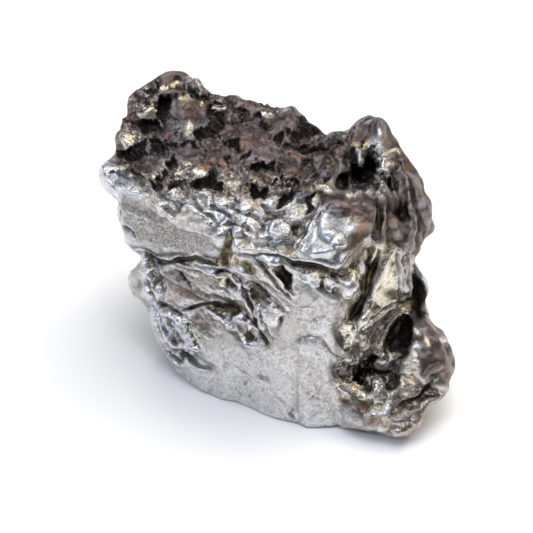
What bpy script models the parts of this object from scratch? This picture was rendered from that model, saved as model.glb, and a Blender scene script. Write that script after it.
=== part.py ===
"""Iron meteorite, a hand specimen: one solid lump of wire-brushed nickel iron.

Lengths are in metres and +Z is up. The lump stands on a small worn flat at Z = 0.
Corners that can be seen are given as (across, down) marks on a square of
MARKS by MARKS units, laid over the view from the front at VIEW_RISE degrees,
together with their height above the flat. Everything behind the view is in plain
X, Y, Z.
"""

import math

import bmesh
import bpy
import numpy as np
from mathutils import Matrix, Vector, noise
from mathutils.bvhtree import BVHTree

# Driving dimensions
MM = 0.001
MARKS = 533
MARK_SIZE = 0.2
VIEW_RISE = 42.0
VIEW_DISTANCE = 350.0
VIEW_TARGET_HEIGHT = 36.5
FLAT_LEVEL = 0.5
GROUND_REACH = 100.0
CROWN = 3.2
MOUTH_CLEARANCE = 3.0
VOXEL = 0.75
FINE_VOXEL = 0.6
TRIANGLES = 9000
SCALLOP_SIZE = 11.0
SCALLOP_DEPTH = 1.15
CREASE_SIZE = 5.0
CREASE_DEPTH = 0.45
CRAG_SIZE = 5.0
CRAG_DEPTH = 1.0
WAVE_SIZE = 16.0
WAVE_DEPTH = 0.9
BROW_THICKNESS = 9.0
PILLAR_STAND = 1.9
FAN_STAND = 1.5
FLAT_MIDDLE = (4.0, 9.0)
FLAT_RADII = (27.0, 21.0)
UNDERSIDE_REACH = 11.0
UNDERSIDE_SIZE = 9.0
UNDERSIDE_DEPTH = 0.5
RAY_START = 0.4
TOP_HEIGHT = (38.0, 43.0)
TOP_EDGE = (206.0, 186.0)
FOOT_SIDE = (13.0, 17.0)
FOOT_HEIGHT = (24.0, 20.0)
LEVEL_FADE = (1.0, 6.0)

# Outline of the lump in the view, in marks, clockwise from the left corner
OUTLINE = [
    (98, 173), (99, 168), (104, 162), (110, 157), (114, 152), (115, 140), (116, 131),
    (120, 130), (121, 118), (122, 113), (127, 107), (129, 98), (131, 93), (134, 89),
    (143, 83), (149, 79), (155, 75), (160, 72), (173, 70), (182, 69), (187, 70),
    (190, 72), (194, 79), (201, 90), (214, 93), (226, 96), (232, 93), (243, 98),
    (258, 102), (272, 106), (286, 105), (291, 105), (300, 110), (311, 121),
    (320, 128), (326, 134), (336, 131), (345, 130), (356, 124), (364, 116),
    (369, 115), (375, 117), (387, 125), (391, 129), (399, 145), (403, 151),
    (410, 158), (418, 170), (423, 188), (429, 201), (433, 215), (435, 222),
    (434, 228), (427, 238), (424, 242), (423, 248), (416, 258), (419, 268),
    (424, 280), (425, 285), (424, 290), (429, 308), (431, 322), (442, 331),
    (447, 336), (454, 351), (455, 358), (455, 368), (453, 376), (449, 383),
    (438, 395), (430, 409), (425, 420), (419, 430), (408, 437), (395, 438),
    (384, 432), (378, 434), (362, 431), (352, 431), (338, 427), (320, 429),
    (310, 430), (302, 427), (296, 424), (280, 422), (262, 416), (250, 409),
    (238, 404), (220, 401), (205, 393), (187, 381), (175, 370), (167, 356),
    (158, 340), (152, 326), (148, 312), (146, 303), (140, 299), (131, 291),
    (127, 280), (130, 271), (138, 266), (141, 258), (139, 252), (133, 250),
    (125, 243), (120, 222), (117, 205), (112, 195), (104, 188), (99, 181),
]
OUTLINE_CENTRE = (275.0, 262.0)
OUTLINE_BINS = 180


def view_axes():
    rise = math.radians(VIEW_RISE)
    across = Vector((1.0, 0.0, 0.0))
    up = Vector((0.0, math.sin(rise), math.cos(rise)))
    toward = Vector((0.0, -math.cos(rise), math.sin(rise)))
    return across, up, toward


ACROSS, UP, TOWARD = view_axes()
TARGET = Vector((0.0, 0.0, VIEW_TARGET_HEIGHT))
EYE = TARGET + TOWARD * VIEW_DISTANCE


def ray(u, v):
    """Direction from the eye through a mark."""
    half = MARKS / 2.0
    aim = TARGET + ACROSS * ((u - half) * MARK_SIZE) + UP * ((half - v) * MARK_SIZE)
    return aim - EYE


def at_height(u, v, z):
    """Point seen at a mark, at height z above the flat."""
    way = ray(u, v)
    return EYE + way * ((z - EYE.z) / way.z)


def at_back(u, v, y):
    """Point seen at a mark, at distance y behind the middle of the lump."""
    way = ray(u, v)
    return EYE + way * ((y - EYE.y) / way.y)


def marks_of(points):
    """Marks (u, v) and distance from the eye of an N by 3 array of points."""
    rel = points - np.array(EYE)
    depth = -(rel @ np.array(TOWARD))
    scale = VIEW_DISTANCE / depth / MARK_SIZE
    half = MARKS / 2.0
    u = half + (rel @ np.array(ACROSS)) * scale
    v = half - (rel @ np.array(UP)) * scale
    return u, v, depth


# Blocks of the lump
def core_corners():
    seen_top = [
        at_height(104, 168, 44.0), at_height(112, 182, 44.5), at_height(170, 195, 47.5),
        at_height(240, 193, 50.0), at_height(305, 196, 50.0), at_height(345, 196, 49.0),
        at_height(240, 248, 44.5), at_height(290, 258, 44.0), at_height(330, 260, 44.0),
        at_height(366, 232, 45.0), at_height(398, 236, 40.0), at_height(425, 222, 40.0),
        at_height(424, 190, 43.0), at_height(398, 150, 48.0), at_height(368, 126, 49.0),
        at_height(318, 132, 47.0), at_height(285, 110, 48.5), at_height(225, 100, 50.0),
        at_height(150, 92, 50.0), at_height(122, 122, 47.0), at_height(116, 150, 45.5),
    ]
    seen_sides = [
        at_height(141, 262, 26.0), at_height(148, 300, 16.5), at_height(156, 330, 10.0),
        at_height(172, 362, 3.5), at_height(190, 380, 0.6), at_height(205, 392, 0.0),
        at_height(250, 408, 0.0), at_height(298, 424, 0.0), at_height(322, 427, 0.0),
        at_height(342, 424, 0.0), at_back(418, 262, 11.0), at_back(423, 285, 11.5),
        at_back(424, 318, 9.0),
    ]
    hidden = [
        Vector((-21.0, 38.5, 34.0)), Vector((-2.0, 42.5, 30.0)), Vector((21.0, 36.0, 28.0)),
        Vector((-19.0, 39.5, 45.0)), Vector((2.0, 39.5, 44.0)), Vector((18.0, 34.5, 42.0)),
        Vector((-27.0, 29.0, 24.0)), Vector((30.5, 24.0, 24.0)), Vector((-21.0, 27.0, 5.0)),
        Vector((-3.0, 37.0, 6.0)), Vector((17.0, 33.0, 6.0)), Vector((28.0, 19.0, 5.0)),
        Vector((-15.0, 21.0, 0.0)), Vector((-2.0, 29.0, 0.0)), Vector((14.0, 26.0, 0.0)),
        Vector((24.0, 13.0, 0.0)),
    ]
    return seen_top + seen_sides + hidden


def brow_corners():
    """Satin slab that overhangs the left face."""
    outer = [
        at_height(101, 176, 44.8), at_height(106, 190, 42.6), at_height(118, 212, 38.6),
        at_height(122, 226, 35.6), at_height(130, 246, 30.6), at_height(150, 250, 31.8),
        at_height(178, 255, 33.8), at_height(222, 260, 37.0), at_height(226, 252, 39.5),
        at_height(206, 232, 42.4), at_height(172, 218, 43.4), at_height(137, 190, 45.2),
        at_height(118, 180, 45.6),
    ]
    push = -TOWARD * BROW_THICKNESS
    inner = [p + push for p in outer]
    return outer + inner


def front_block_corners():
    """Square-shouldered block over the front corner."""
    outer = [
        at_height(318, 214, 49.5), at_height(330, 200, 51.0), at_height(372, 200, 50.0),
        at_height(378, 228, 45.5), at_height(347, 256, 44.6), at_height(338, 264, 43.6),
        at_height(324, 260, 44.2), at_height(298, 256, 44.0), at_height(345, 276, 39.0),
        at_height(320, 268, 41.0),
    ]
    push = Vector((0.0, 8.0, -6.0))
    inner = [p + push for p in outer]
    return outer + inner


def left_peak_corners():
    """High back-left shoulder of the top."""
    outer = [
        at_height(136, 92, 51.0), at_height(152, 80, 52.5), at_height(172, 74, 54.0),
        at_height(186, 74, 54.0), at_height(196, 90, 52.0), at_height(206, 128, 48.0),
        at_height(176, 142, 47.0), at_height(136, 120, 48.0), at_height(170, 100, 53.0),
        at_height(196, 104, 52.0),
    ]
    push = Vector((1.5, -1.0, -14.0))
    inner = [p + push for p in outer]
    return outer + inner


def right_peak_corners():
    """High back-right shoulder of the top."""
    outer = [
        at_height(346, 134, 49.0), at_height(362, 120, 51.5), at_height(374, 119, 51.8),
        at_height(388, 130, 50.5), at_height(400, 152, 48.0), at_height(414, 170, 45.5),
        at_height(420, 192, 43.0), at_height(398, 200, 44.0), at_height(384, 184, 46.0),
        at_height(376, 160, 48.0),
    ]
    push = Vector((-1.5, 4.0, -12.0))
    inner = [p + push for p in outer]
    return outer + inner


def pillar_corners():
    """Upright rib on the right face, with the bright three-cornered face beside it."""
    outer = [
        at_back(396, 246, 3.6), at_back(409, 250, 5.2), at_back(408, 297, 5.0),
        at_back(392, 304, 2.4), at_back(384, 262, 2.6), at_back(364, 304, -1.6),
        at_back(372, 318, -1.8),
    ]
    push = Vector((-3.0, 9.0, 0.0))
    inner = [p + push for p in outer]
    return [p + TOWARD * PILLAR_STAND for p in outer] + inner


def fan_corners():
    """Ribbed fan under the pillar."""
    outer = [
        at_back(366, 328, -2.6), at_back(380, 316, -1.2), at_back(404, 303, 3.6),
        at_back(404, 318, 3.0), at_back(388, 344, 0.2), at_back(366, 354, -2.6),
        at_back(356, 350, -4.2), at_back(352, 332, -4.2),
    ]
    push = Vector((-2.0, 9.0, 0.0))
    inner = [p + push for p in outer]
    return [p + TOWARD * FAN_STAND for p in outer] + inner


def side_knob_corners():
    """Pale smooth knob low on the left edge."""
    outer = [
        at_back(129, 276, 14.0), at_back(134, 269, 14.0), at_back(142, 268, 13.4),
        at_back(146, 282, 12.6), at_back(144, 297, 12.6), at_back(135, 293, 13.2),
        at_back(129, 286, 13.8),
    ]
    push = Vector((1.5, 6.0, 0.0))
    inner = [p + push for p in outer]
    return outer + inner


def funnel(mouth, mouth_height, floor_height, narrowing):
    """Corners of a hollow that narrows from its mouth, given in marks, down to its floor."""
    middle_u = sum(mark[0] for mark in mouth) / len(mouth)
    middle_v = sum(mark[1] for mark in mouth) / len(mouth)
    corners = []
    for u, v in mouth:
        corners.append(at_height(u, v, mouth_height) + TOWARD * MOUTH_CLEARANCE)
        inner_u = middle_u + (u - middle_u) * narrowing
        inner_v = middle_v + (v - middle_v) * narrowing
        corners.append(at_height(inner_u, inner_v, floor_height))
    return corners


def corner_cave_corners():
    """Ragged hollow under the back-right shoulder."""
    mouth = [
        (346, 152), (356, 146), (373, 148), (376, 160), (380, 174), (375, 189),
        (362, 195), (351, 191), (348, 170),
    ]
    return funnel(mouth, 49.5, 42.5, 0.66)


def side_cave_corners():
    """Shallower left half of the ragged hollow."""
    mouth = [(334, 180), (337, 172), (345, 168), (356, 174), (356, 192), (345, 194), (335, 190)]
    return funnel(mouth, 49.5, 45.6, 0.6)


def corner_bar_corners():
    """Pale bar that hangs down inside the ragged hollow."""
    return [
        at_height(354, 142, 49.5), at_height(366, 142, 49.5), at_height(357, 165, 48.0),
        at_height(363, 168, 47.6), at_height(355, 148, 43.0), at_height(366, 148, 43.0),
        at_height(357, 166, 43.0), at_height(363, 169, 43.0),
    ]


def back_slab_corners():
    """Raised slab across the hidden back, with an overhanging lower lip."""
    outer = [
        Vector((-24.5, 36.0, 42.0)), Vector((-14.0, 41.6, 43.0)), Vector((3.0, 43.0, 40.0)),
        Vector((8.0, 43.6, 29.0)), Vector((-7.0, 44.4, 23.0)), Vector((-23.0, 38.4, 27.0)),
    ]
    push = Vector((3.0, -7.0, 0.0))
    inner = [p + push for p in outer]
    return outer + inner


def side_slab_corners():
    """Raised slab on the hidden right side."""
    outer = [
        Vector((13.0, 39.0, 38.0)), Vector((27.0, 31.0, 37.0)), Vector((33.4, 20.0, 33.0)),
        Vector((33.0, 21.0, 21.0)), Vector((23.0, 34.6, 15.0)), Vector((10.0, 40.8, 22.0)),
    ]
    push = Vector((-5.0, -6.0, 0.0))
    inner = [p + push for p in outer]
    return outer + inner


# Round pieces: name, (u, v, height), radii across, deep and high
LOBE_BALLS = [
    ("lobe_right", (427, 362, 12.0), (6.0, 8.0, 8.6)),
    ("lobe_foot", (402, 408, 4.6), (8.0, 6.4, 5.6)),
    ("lobe_top", (425, 344, 16.4), (5.0, 7.0, 5.6)),
    ("lobe_left", (362, 400, 5.0), (6.6, 5.6, 6.2)),
    ("lobe_middle", (384, 398, 6.0), (8.0, 6.4, 6.4)),
    ("lobe_root", (404, 350, 12.0), (8.0, 7.0, 9.0)),
    ("lobe_neck", (421, 320, 17.5), (3.4, 5.0, 4.6)),
]
LUMP_BALLS = [
    ("left_corner", (117, 177, 43.0), (3.6, 4.4, 3.4)),
    ("right_shoulder", (422, 210, 40.0), (2.8, 5.0, 5.4)),
    ("cave_rim_right", (385, 165, 47.0), (1.8, 2.6, 1.6)),
    ("cave_rim_low", (352, 196, 49.2), (2.6, 1.2, 1.2)),
    ("boulder", (388, 363, 10.8), (2.9, 2.6, 2.2)),
    ("small_knob", (378, 386, 10.6), (1.7, 2.2, 2.2)),
    ("rib_knob_high", (366, 317, 25.4), (1.5, 1.5, 1.7)),
    ("rib_knob_low", (365, 343, 19.6), (1.6, 1.5, 1.5)),
    ("fold_knob", (352, 286, 35.2), (2.2, 1.6, 2.0)),
]
# Hollows cut right into the metal: name, (u, v, height), radii, turn about Y
HOLLOW_BALLS = [
    ("corner_hole_right", (389, 184, 45.5), (1.3, 2.6, 2.0), 20.0),
    ("corner_hole_left", (340, 182, 46.6), (1.5, 2.2, 2.0), -20.0),
    ("corner_hole_back", (370, 151, 45.5), (1.3, 2.4, 2.0), 10.0),
    ("foot_cave", (384, 370, 11.0), (5.8, 6.2, 3.0), -8.0),
    ("foot_cave_back", (402, 340, 16.8), (4.4, 5.8, 3.2), -42.0),
    ("foot_cave_left", (352, 370, 10.0), (2.8, 3.2, 2.6), 0.0),
    ("top_pit_left", (218, 116, 50.0), (2.2, 3.6, 2.8), 20.0),
    ("top_pit_back", (165, 106, 52.0), (1.7, 3.0, 2.4), 0.0),
]

# Worn faces that stay smooth, as loops of marks
SMOOTH_FACES = [
    [
        (196, 352), (262, 352), (296, 345), (297, 310), (336, 306), (337, 350),
        (330, 380), (338, 426), (300, 428), (262, 418), (220, 403), (186, 383), (170, 372),
    ],
    [
        (118, 188), (136, 196), (150, 213), (178, 230), (212, 240), (222, 256),
        (178, 252), (150, 247), (133, 246), (118, 238),
    ],
]

# Swellings and dents on the seen side: u, v, half width, half height, turn, rise in mm
SWELLS = [
    (120, 187, 9, 6, 20, 0.5), (114, 172, 7, 6, 0, -0.7), (120, 211, 8, 6, 60, -0.5),
    (165, 206, 16, 8, 35, -0.5), (160, 203, 18, 4, 38, 0.5), (221, 232, 8, 12, 20, 0.9),
    (222, 202, 10, 8, 0, 0.8), (247, 207, 11, 10, 0, 0.9), (240, 229, 8, 7, 0, 0.7),
    (197, 212, 13, 10, 20, 0.7), (280, 229, 19, 15, 0, 1.1), (296, 229, 6, 8, 10, -1.3),
    (324, 249, 15, 9, 10, 0.9), (340, 240, 8, 8, 0, 0.8), (360, 226, 13, 8, 0, 0.5),
    (346, 214, 16, 9, 0, -0.5), (226, 282, 14, 12, 40, -1.5), (257, 296, 13, 11, 45, -1.6),
    (272, 317, 12, 12, 30, 1.0), (229, 309, 24, 8, 20, -1.5), (286, 283, 6, 16, -25, -1.4),
    (182, 288, 24, 14, 20, 0.6), (322, 284, 22, 12, 10, -1.9), (350, 284, 9, 9, 0, 0.7),
    (348, 336, 9, 15, 0, -1.6), (352, 297, 10, 10, 0, 0.5), (366, 340, 7, 7, 0, 0.8),
    (366, 318, 6, 7, 0, 0.9), (384, 286, 9, 18, 15, -0.6), (350, 374, 16, 13, 0, -1.5),
    (348, 390, 12, 7, 15, 0.8), (369, 396, 10, 8, 0, 0.6), (380, 424, 20, 7, -5, 0.6),
    (418, 384, 9, 10, 0, -0.8), (414, 420, 14, 8, -30, 0.6), (440, 352, 9, 12, 0, 0.6),
    (432, 330, 10, 6, 20, 0.5), (248, 336, 9, 9, 0, -0.7), (240, 318, 14, 7, 30, 0.6),
    (256, 346, 10, 6, 20, 0.6), (172, 322, 9, 20, -15, 0.6), (152, 274, 9, 22, -15, -0.7),
    (188, 118, 16, 18, 0, 1.1), (150, 112, 11, 8, 10, 0.8), (148, 124, 12, 6, 0, -1.1),
    (130, 154, 13, 7, 0, -1.1), (127, 139, 8, 9, 0, 0.8), (172, 143, 13, 5, 0, -0.9),
    (266, 144, 18, 14, 25, 0.8), (240, 138, 11, 12, 0, 0.5), (262, 164, 14, 5, 10, -0.9),
    (258, 192, 12, 6, 0, -0.9), (286, 197, 14, 7, -35, -1.1), (200, 184, 11, 6, -20, -0.9),
    (176, 186, 8, 7, 0, -0.8), (215, 162, 12, 7, 0, 0.5), (228, 180, 16, 7, 20, 0.7),
    (156, 166, 18, 7, -8, 0.5), (300, 152, 26, 12, 10, -1.0), (305, 168, 22, 7, -25, 0.5),
    (325, 187, 10, 5, -10, 0.8), (368, 130, 8, 13, 10, -0.7), (386, 164, 12, 14, 30, 0.7),
    (390, 186, 7, 8, 0, -1.1), (404, 212, 6, 9, 0, -0.9), (412, 176, 8, 16, -20, 0.4),
    (404, 238, 9, 9, 0, -0.5), (416, 290, 8, 28, -5, -1.4), (310, 352, 15, 14, 0, 0.4),
]
# Ridges (rise above 0) and furrows (below 0): marks along it, half width, rise in mm
RUNS = [
    ([(118, 172), (130, 171), (145, 178), (160, 184)], 4.0, -0.9),
    ([(120, 183), (137, 191), (150, 205), (172, 219), (200, 231), (213, 238)], 4.0, 0.5),
    ([(228, 232), (226, 246), (221, 259)], 4.0, -1.2),
    ([(268, 220), (280, 217), (291, 218)], 4.0, -0.8),
    ([(302, 200), (310, 214), (304, 232), (297, 250)], 5.0, -0.8),
    ([(328, 200), (316, 216), (308, 234), (299, 250)], 4.0, 0.8),
    ([(133, 253), (158, 261), (178, 260), (200, 262), (222, 266)], 6.0, -1.7),
    ([(190, 262), (220, 276), (250, 292)], 4.5, 0.7),
    ([(172, 268), (188, 290), (214, 302)], 4.0, -0.7),
    ([(237, 272), (243, 290), (250, 305), (258, 325), (268, 345)], 4.0, -1.0),
    ([(244, 272), (252, 292), (258, 306), (266, 326)], 4.0, 0.8),
    ([(255, 260), (270, 276), (285, 292), (292, 298)], 4.0, 0.7),
    ([(206, 307), (215, 316), (232, 326)], 4.0, 0.8),
    ([(158, 304), (180, 310), (205, 303)], 4.0, -0.8),
    ([(160, 306), (180, 314), (188, 324), (198, 350)], 4.5, 0.7),
    ([(146, 258), (152, 280), (158, 298), (170, 330), (182, 350)], 5.0, -0.8),
    ([(165, 348), (178, 358), (187, 353), (197, 364), (210, 370)], 4.5, -1.3),
    ([(168, 362), (184, 364), (196, 372)], 4.0, 0.6),
    ([(235, 324), (245, 338), (252, 350)], 4.5, 0.8),
    ([(298, 278), (312, 283), (320, 293), (332, 300), (341, 302)], 4.0, 0.7),
    ([(297, 262), (312, 266), (330, 272), (346, 276)], 4.5, -1.2),
    ([(370, 288), (364, 302), (357, 312), (350, 320)], 4.5, -1.2),
    ([(340, 288), (341, 305), (341, 330), (342, 352)], 4.0, -0.6),
    ([(298, 340), (308, 337), (320, 338), (328, 348), (340, 357)], 3.5, -0.5),
    ([(375, 262), (368, 285), (372, 300)], 5.0, -1.0),
    ([(380, 200), (384, 222), (378, 246), (372, 262)], 5.0, -0.9),
    ([(391, 200), (394, 222), (392, 246)], 4.0, -0.9),
    ([(386, 200), (389, 222), (386, 246)], 4.0, 0.8),
    ([(402, 174), (411, 200), (417, 222), (410, 252)], 4.0, 0.7),
    ([(418, 186), (425, 203), (428, 218)], 4.0, 0.5),
    ([(390, 303), (409, 299)], 4.0, -0.8),
    ([(363, 328), (375, 318), (390, 306), (408, 301)], 4.0, 0.6),
    ([(376, 344), (388, 326), (398, 310)], 3.5, -0.5),
    ([(384, 350), (394, 334), (403, 316)], 3.5, -0.5),
    ([(405, 400), (413, 396), (417, 386), (425, 376), (440, 366)], 4.0, 0.7),
    ([(398, 408), (412, 404), (424, 392), (436, 380)], 4.5, -0.8),
    ([(204, 92), (232, 98), (262, 106), (290, 110)], 5.0, 0.8),
    ([(206, 130), (232, 124), (262, 132), (284, 146)], 5.0, 0.6),
    ([(300, 196), (330, 178), (345, 168)], 5.0, 0.7),
    ([(222, 166), (246, 172), (262, 184), (284, 190)], 5.0, 0.8),
    ([(140, 160), (170, 158), (200, 166), (222, 176)], 5.0, 0.6),
]


# Mesh helpers
def named_collection(name):
    made = bpy.data.collections.new(name)
    bpy.context.scene.collection.children.link(made)
    return made


def clear_scene():
    for item in list(bpy.data.objects):
        bpy.data.objects.remove(item, do_unlink=True)


def object_from(bm, name, home):
    mesh = bpy.data.meshes.new(name)
    bm.to_mesh(mesh)
    bm.free()
    made = bpy.data.objects.new(name, mesh)
    home.objects.link(made)
    return made


def hull_object(name, corners, home):
    bm = bmesh.new()
    for corner in corners:
        bm.verts.new(corner)
    found = bmesh.ops.convex_hull(bm, input=bm.verts)
    spare = [g for g in found["geom_interior"] if isinstance(g, bmesh.types.BMVert)]
    bmesh.ops.delete(bm, geom=spare, context="VERTS")
    bmesh.ops.recalc_face_normals(bm, faces=bm.faces)
    return object_from(bm, name, home)


def ball_object(name, place, radii, home, turn=0.0):
    bm = bmesh.new()
    bmesh.ops.create_icosphere(bm, subdivisions=3, radius=1.0)
    centre = at_height(*place)
    spin = Matrix.Rotation(math.radians(turn), 4, "Y")
    stretch = Matrix.Diagonal((*radii, 1.0))
    bmesh.ops.transform(bm, matrix=Matrix.Translation(centre) @ spin @ stretch, verts=bm.verts)
    return object_from(bm, name, home)


def join(objects, name, home):
    bm = bmesh.new()
    for item in objects:
        bm.from_mesh(item.data)
    for item in objects:
        bpy.data.objects.remove(item, do_unlink=True)
    return object_from(bm, name, home)


def apply_modifiers(item):
    graph = bpy.context.evaluated_depsgraph_get()
    baked = bpy.data.meshes.new_from_object(item.evaluated_get(graph))
    item.modifiers.clear()
    item.data = baked


def remesh(item, size):
    step = item.modifiers.new("fuse", "REMESH")
    step.mode = "VOXEL"
    step.voxel_size = size
    step.adaptivity = 0.0
    apply_modifiers(item)


def relax(item, factor, times):
    step = item.modifiers.new("relax", "SMOOTH")
    step.factor = factor
    step.iterations = times
    apply_modifiers(item)


def carve(item, cutter):
    step = item.modifiers.new("carve", "BOOLEAN")
    step.operation = "DIFFERENCE"
    step.solver = "EXACT"
    step.object = cutter
    apply_modifiers(item)


def keep_largest(item):
    """Drop any closed bubble left inside by fusing."""
    bm = bmesh.new()
    bm.from_mesh(item.data)
    left = set(bm.verts)
    groups = []
    while left:
        seed = left.pop()
        group = {seed}
        edge_front = [seed]
        while edge_front:
            here = edge_front.pop()
            for edge in here.link_edges:
                other = edge.other_vert(here)
                if other in left:
                    left.remove(other)
                    group.add(other)
                    edge_front.append(other)
        groups.append(group)
    groups.sort(key=len)
    for group in groups[:-1]:
        bmesh.ops.delete(bm, geom=list(group), context="VERTS")
    bm.to_mesh(item.data)
    bm.free()


def get_points(item):
    out = np.empty(len(item.data.vertices) * 3)
    item.data.vertices.foreach_get("co", out)
    return out.reshape(-1, 3)


def set_points(item, points):
    item.data.vertices.foreach_set("co", points.ravel())
    item.data.update()


def get_normals(item):
    out = np.empty(len(item.data.vertices) * 3)
    item.data.vertices.foreach_get("normal", out)
    return out.reshape(-1, 3)


def smoothstep(low, high, value):
    t = np.clip((value - low) / (high - low), 0.0, 1.0)
    return t * t * (3.0 - 2.0 * t)


# Outline
def outline_radius():
    """Radius of OUTLINE from its centre, for each of OUTLINE_BINS directions."""
    loop = np.array(OUTLINE + OUTLINE[:1], dtype=float)
    dense = []
    for start, end in zip(loop[:-1], loop[1:]):
        count = max(2, int(np.hypot(*(end - start)) * 2))
        steps = np.linspace(0.0, 1.0, count, endpoint=False)[:, None]
        dense.append(start + (end - start) * steps)
    dense = np.concatenate(dense)
    return radius_by_direction(dense[:, 0], dense[:, 1])


def radius_by_direction(u, v):
    du = u - OUTLINE_CENTRE[0]
    dv = v - OUTLINE_CENTRE[1]
    turn = np.arctan2(dv, du)
    away = np.hypot(du, dv)
    slot = ((turn + math.pi) / (2.0 * math.pi) * OUTLINE_BINS).astype(int) % OUTLINE_BINS
    out = np.zeros(OUTLINE_BINS)
    np.maximum.at(out, slot, away)
    return out


def fit_outline(item, times):
    """Ease the lump sideways until its edge in the view follows OUTLINE."""
    wanted = outline_radius()
    for _ in range(times):
        points = get_points(item)
        u, v, depth = marks_of(points)
        have = radius_by_direction(u, v)
        ratio = np.where(have > 1.0, wanted / np.maximum(have, 1.0), 1.0)
        du = u - OUTLINE_CENTRE[0]
        dv = v - OUTLINE_CENTRE[1]
        turn = (np.arctan2(dv, du) + math.pi) / (2.0 * math.pi) * OUTLINE_BINS - 0.5
        slots = np.arange(-2, OUTLINE_BINS + 2)
        rim = np.interp(turn, slots, have[slots % OUTLINE_BINS])
        pull = np.interp(turn, slots, ratio[slots % OUTLINE_BINS])
        share = smoothstep(0.45, 1.0, np.hypot(du, dv) / rim)
        grow = (pull - 1.0) * share
        shift = MARK_SIZE * depth / VIEW_DISTANCE
        points += np.outer(du * grow * shift, np.array(ACROSS))
        points -= np.outer(dv * grow * shift, np.array(UP))
        set_points(item, points)


# Relief seen from the front
def relief_grid():
    """Rise in mm over the view, one value per mark."""
    vv, uu = np.mgrid[0:MARKS, 0:MARKS].astype(float)
    rise = np.zeros((MARKS, MARKS))
    for u, v, half_w, half_h, turn, height in SWELLS:
        c = math.cos(math.radians(turn))
        s = math.sin(math.radians(turn))
        a = ((uu - u) * c + (vv - v) * s) / half_w
        b = ((vv - v) * c - (uu - u) * s) / half_h
        rise += height * np.exp(-1.2 * (a * a + b * b))
    for marks, half_w, height in RUNS:
        away = distance_to_run(uu, vv, marks)
        rise += height * np.exp(-1.2 * (away / half_w) ** 2)
    return rise


def smooth_grid():
    """1 inside SMOOTH_FACES, 0 elsewhere, softened at the edges."""
    vv, uu = np.mgrid[0:MARKS, 0:MARKS].astype(float)
    calm = np.zeros((MARKS, MARKS))
    for loop in SMOOTH_FACES:
        calm = np.maximum(calm, inside_loop(uu, vv, loop))
    for _ in range(4):
        for axis in (0, 1):
            calm = (np.roll(calm, 2, axis) + calm + np.roll(calm, -2, axis)) / 3.0
    return calm


def inside_loop(uu, vv, loop):
    odd = np.zeros(uu.shape, dtype=bool)
    for (u0, v0), (u1, v1) in zip(loop, loop[1:] + loop[:1]):
        if v0 == v1:
            continue
        crosses = (vv >= min(v0, v1)) & (vv < max(v0, v1))
        odd ^= crosses & (uu < u0 + (vv - v0) * (u1 - u0) / (v1 - v0))
    return odd.astype(float)


def distance_to_run(uu, vv, marks):
    best = np.full(uu.shape, 1e9)
    for (u0, v0), (u1, v1) in zip(marks[:-1], marks[1:]):
        du = u1 - u0
        dv = v1 - v0
        t = np.clip(((uu - u0) * du + (vv - v0) * dv) / (du * du + dv * dv), 0.0, 1.0)
        best = np.minimum(best, np.hypot(uu - u0 - t * du, vv - v0 - t * dv))
    return best


def sample(grid, u, v):
    u = np.clip(u, 0.0, MARKS - 1.001)
    v = np.clip(v, 0.0, MARKS - 1.001)
    iu = u.astype(int)
    iv = v.astype(int)
    fu = u - iu
    fv = v - iv
    top = grid[iv, iu] * (1 - fu) + grid[iv, iu + 1] * fu
    low = grid[iv + 1, iu] * (1 - fu) + grid[iv + 1, iu + 1] * fu
    return top * (1 - fv) + low * fv


def seen_share(item, points, normals):
    """1 where the surface is open to the view, fading to 0 at its rim and behind."""
    mesh = item.data
    tree = BVHTree.FromPolygons(
        [v.co for v in mesh.vertices], [tuple(p.vertices) for p in mesh.polygons]
    )
    way = np.array(EYE) - points
    length = np.linalg.norm(way, axis=1)
    facing = np.einsum("ij,ij->i", normals, way) / length
    share = smoothstep(0.02, 0.3, facing)
    for index in np.nonzero(share > 0.0)[0]:
        start = Vector(points[index]) + Vector(normals[index]) * RAY_START
        hit = tree.ray_cast(start, EYE - start)
        if hit[0] is not None:
            share[index] = 0.0
    return share


def add_seen_relief(item):
    points = get_points(item)
    normals = get_normals(item)
    share = seen_share(item, points, normals)
    u, v, _ = marks_of(points)
    rise = sample(relief_grid(), u, v) * share
    set_points(item, points + normals * rise[:, None])
    return share


def add_grown_relief(item, share):
    """Thumbprint hollows behind the view, crags on the top and the foot, fine creases."""
    points = get_points(item)
    normals = get_normals(item)
    u, v, _ = marks_of(points)
    calm = sample(smooth_grid(), u, v) * share
    top = smoothstep(0.35, 0.7, normals[:, 2]) * smoothstep(*TOP_HEIGHT, points[:, 2])
    top *= 0.25 + 0.75 * smoothstep(*TOP_EDGE, v)
    foot = smoothstep(*FOOT_SIDE, points[:, 0]) * smoothstep(*FOOT_HEIGHT, points[:, 2])
    craggy = np.maximum(top, 0.7 * foot * share)
    rise = np.zeros(len(points))
    for index in range(len(points)):
        hidden = 1.0 - share[index]
        place = Vector(points[index])
        if hidden > 0.02:
            near, _ = noise.voronoi(place / SCALLOP_SIZE + Vector((3.1, 7.7, 1.9)))
            bowl = min(near[1] - near[0], 0.55) / 0.55
            rise[index] += SCALLOP_DEPTH * hidden * (0.45 - bowl * bowl * (3.0 - 2.0 * bowl))
            wave = noise.fractal(place / WAVE_SIZE, 0.9, 2.1, 3)
            rise[index] += WAVE_DEPTH * hidden * wave
        fold = noise.ridged_multi_fractal(place / CREASE_SIZE, 0.9, 2.1, 2, 1.0, 2.0)
        rise[index] += CREASE_DEPTH * (fold - 1.1) * (0.3 + 0.5 * hidden) * (1.0 - calm[index])
        if craggy[index] > 0.02:
            crag = noise.fractal(place / CRAG_SIZE + Vector((5.3, 0.4, 2.2)), 0.8, 2.1, 3)
            rise[index] += CRAG_DEPTH * crag * craggy[index]
    level = smoothstep(*LEVEL_FADE, points[:, 2])
    rise *= 0.35 + 0.65 * level
    set_points(item, points + normals * rise[:, None])


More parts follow.
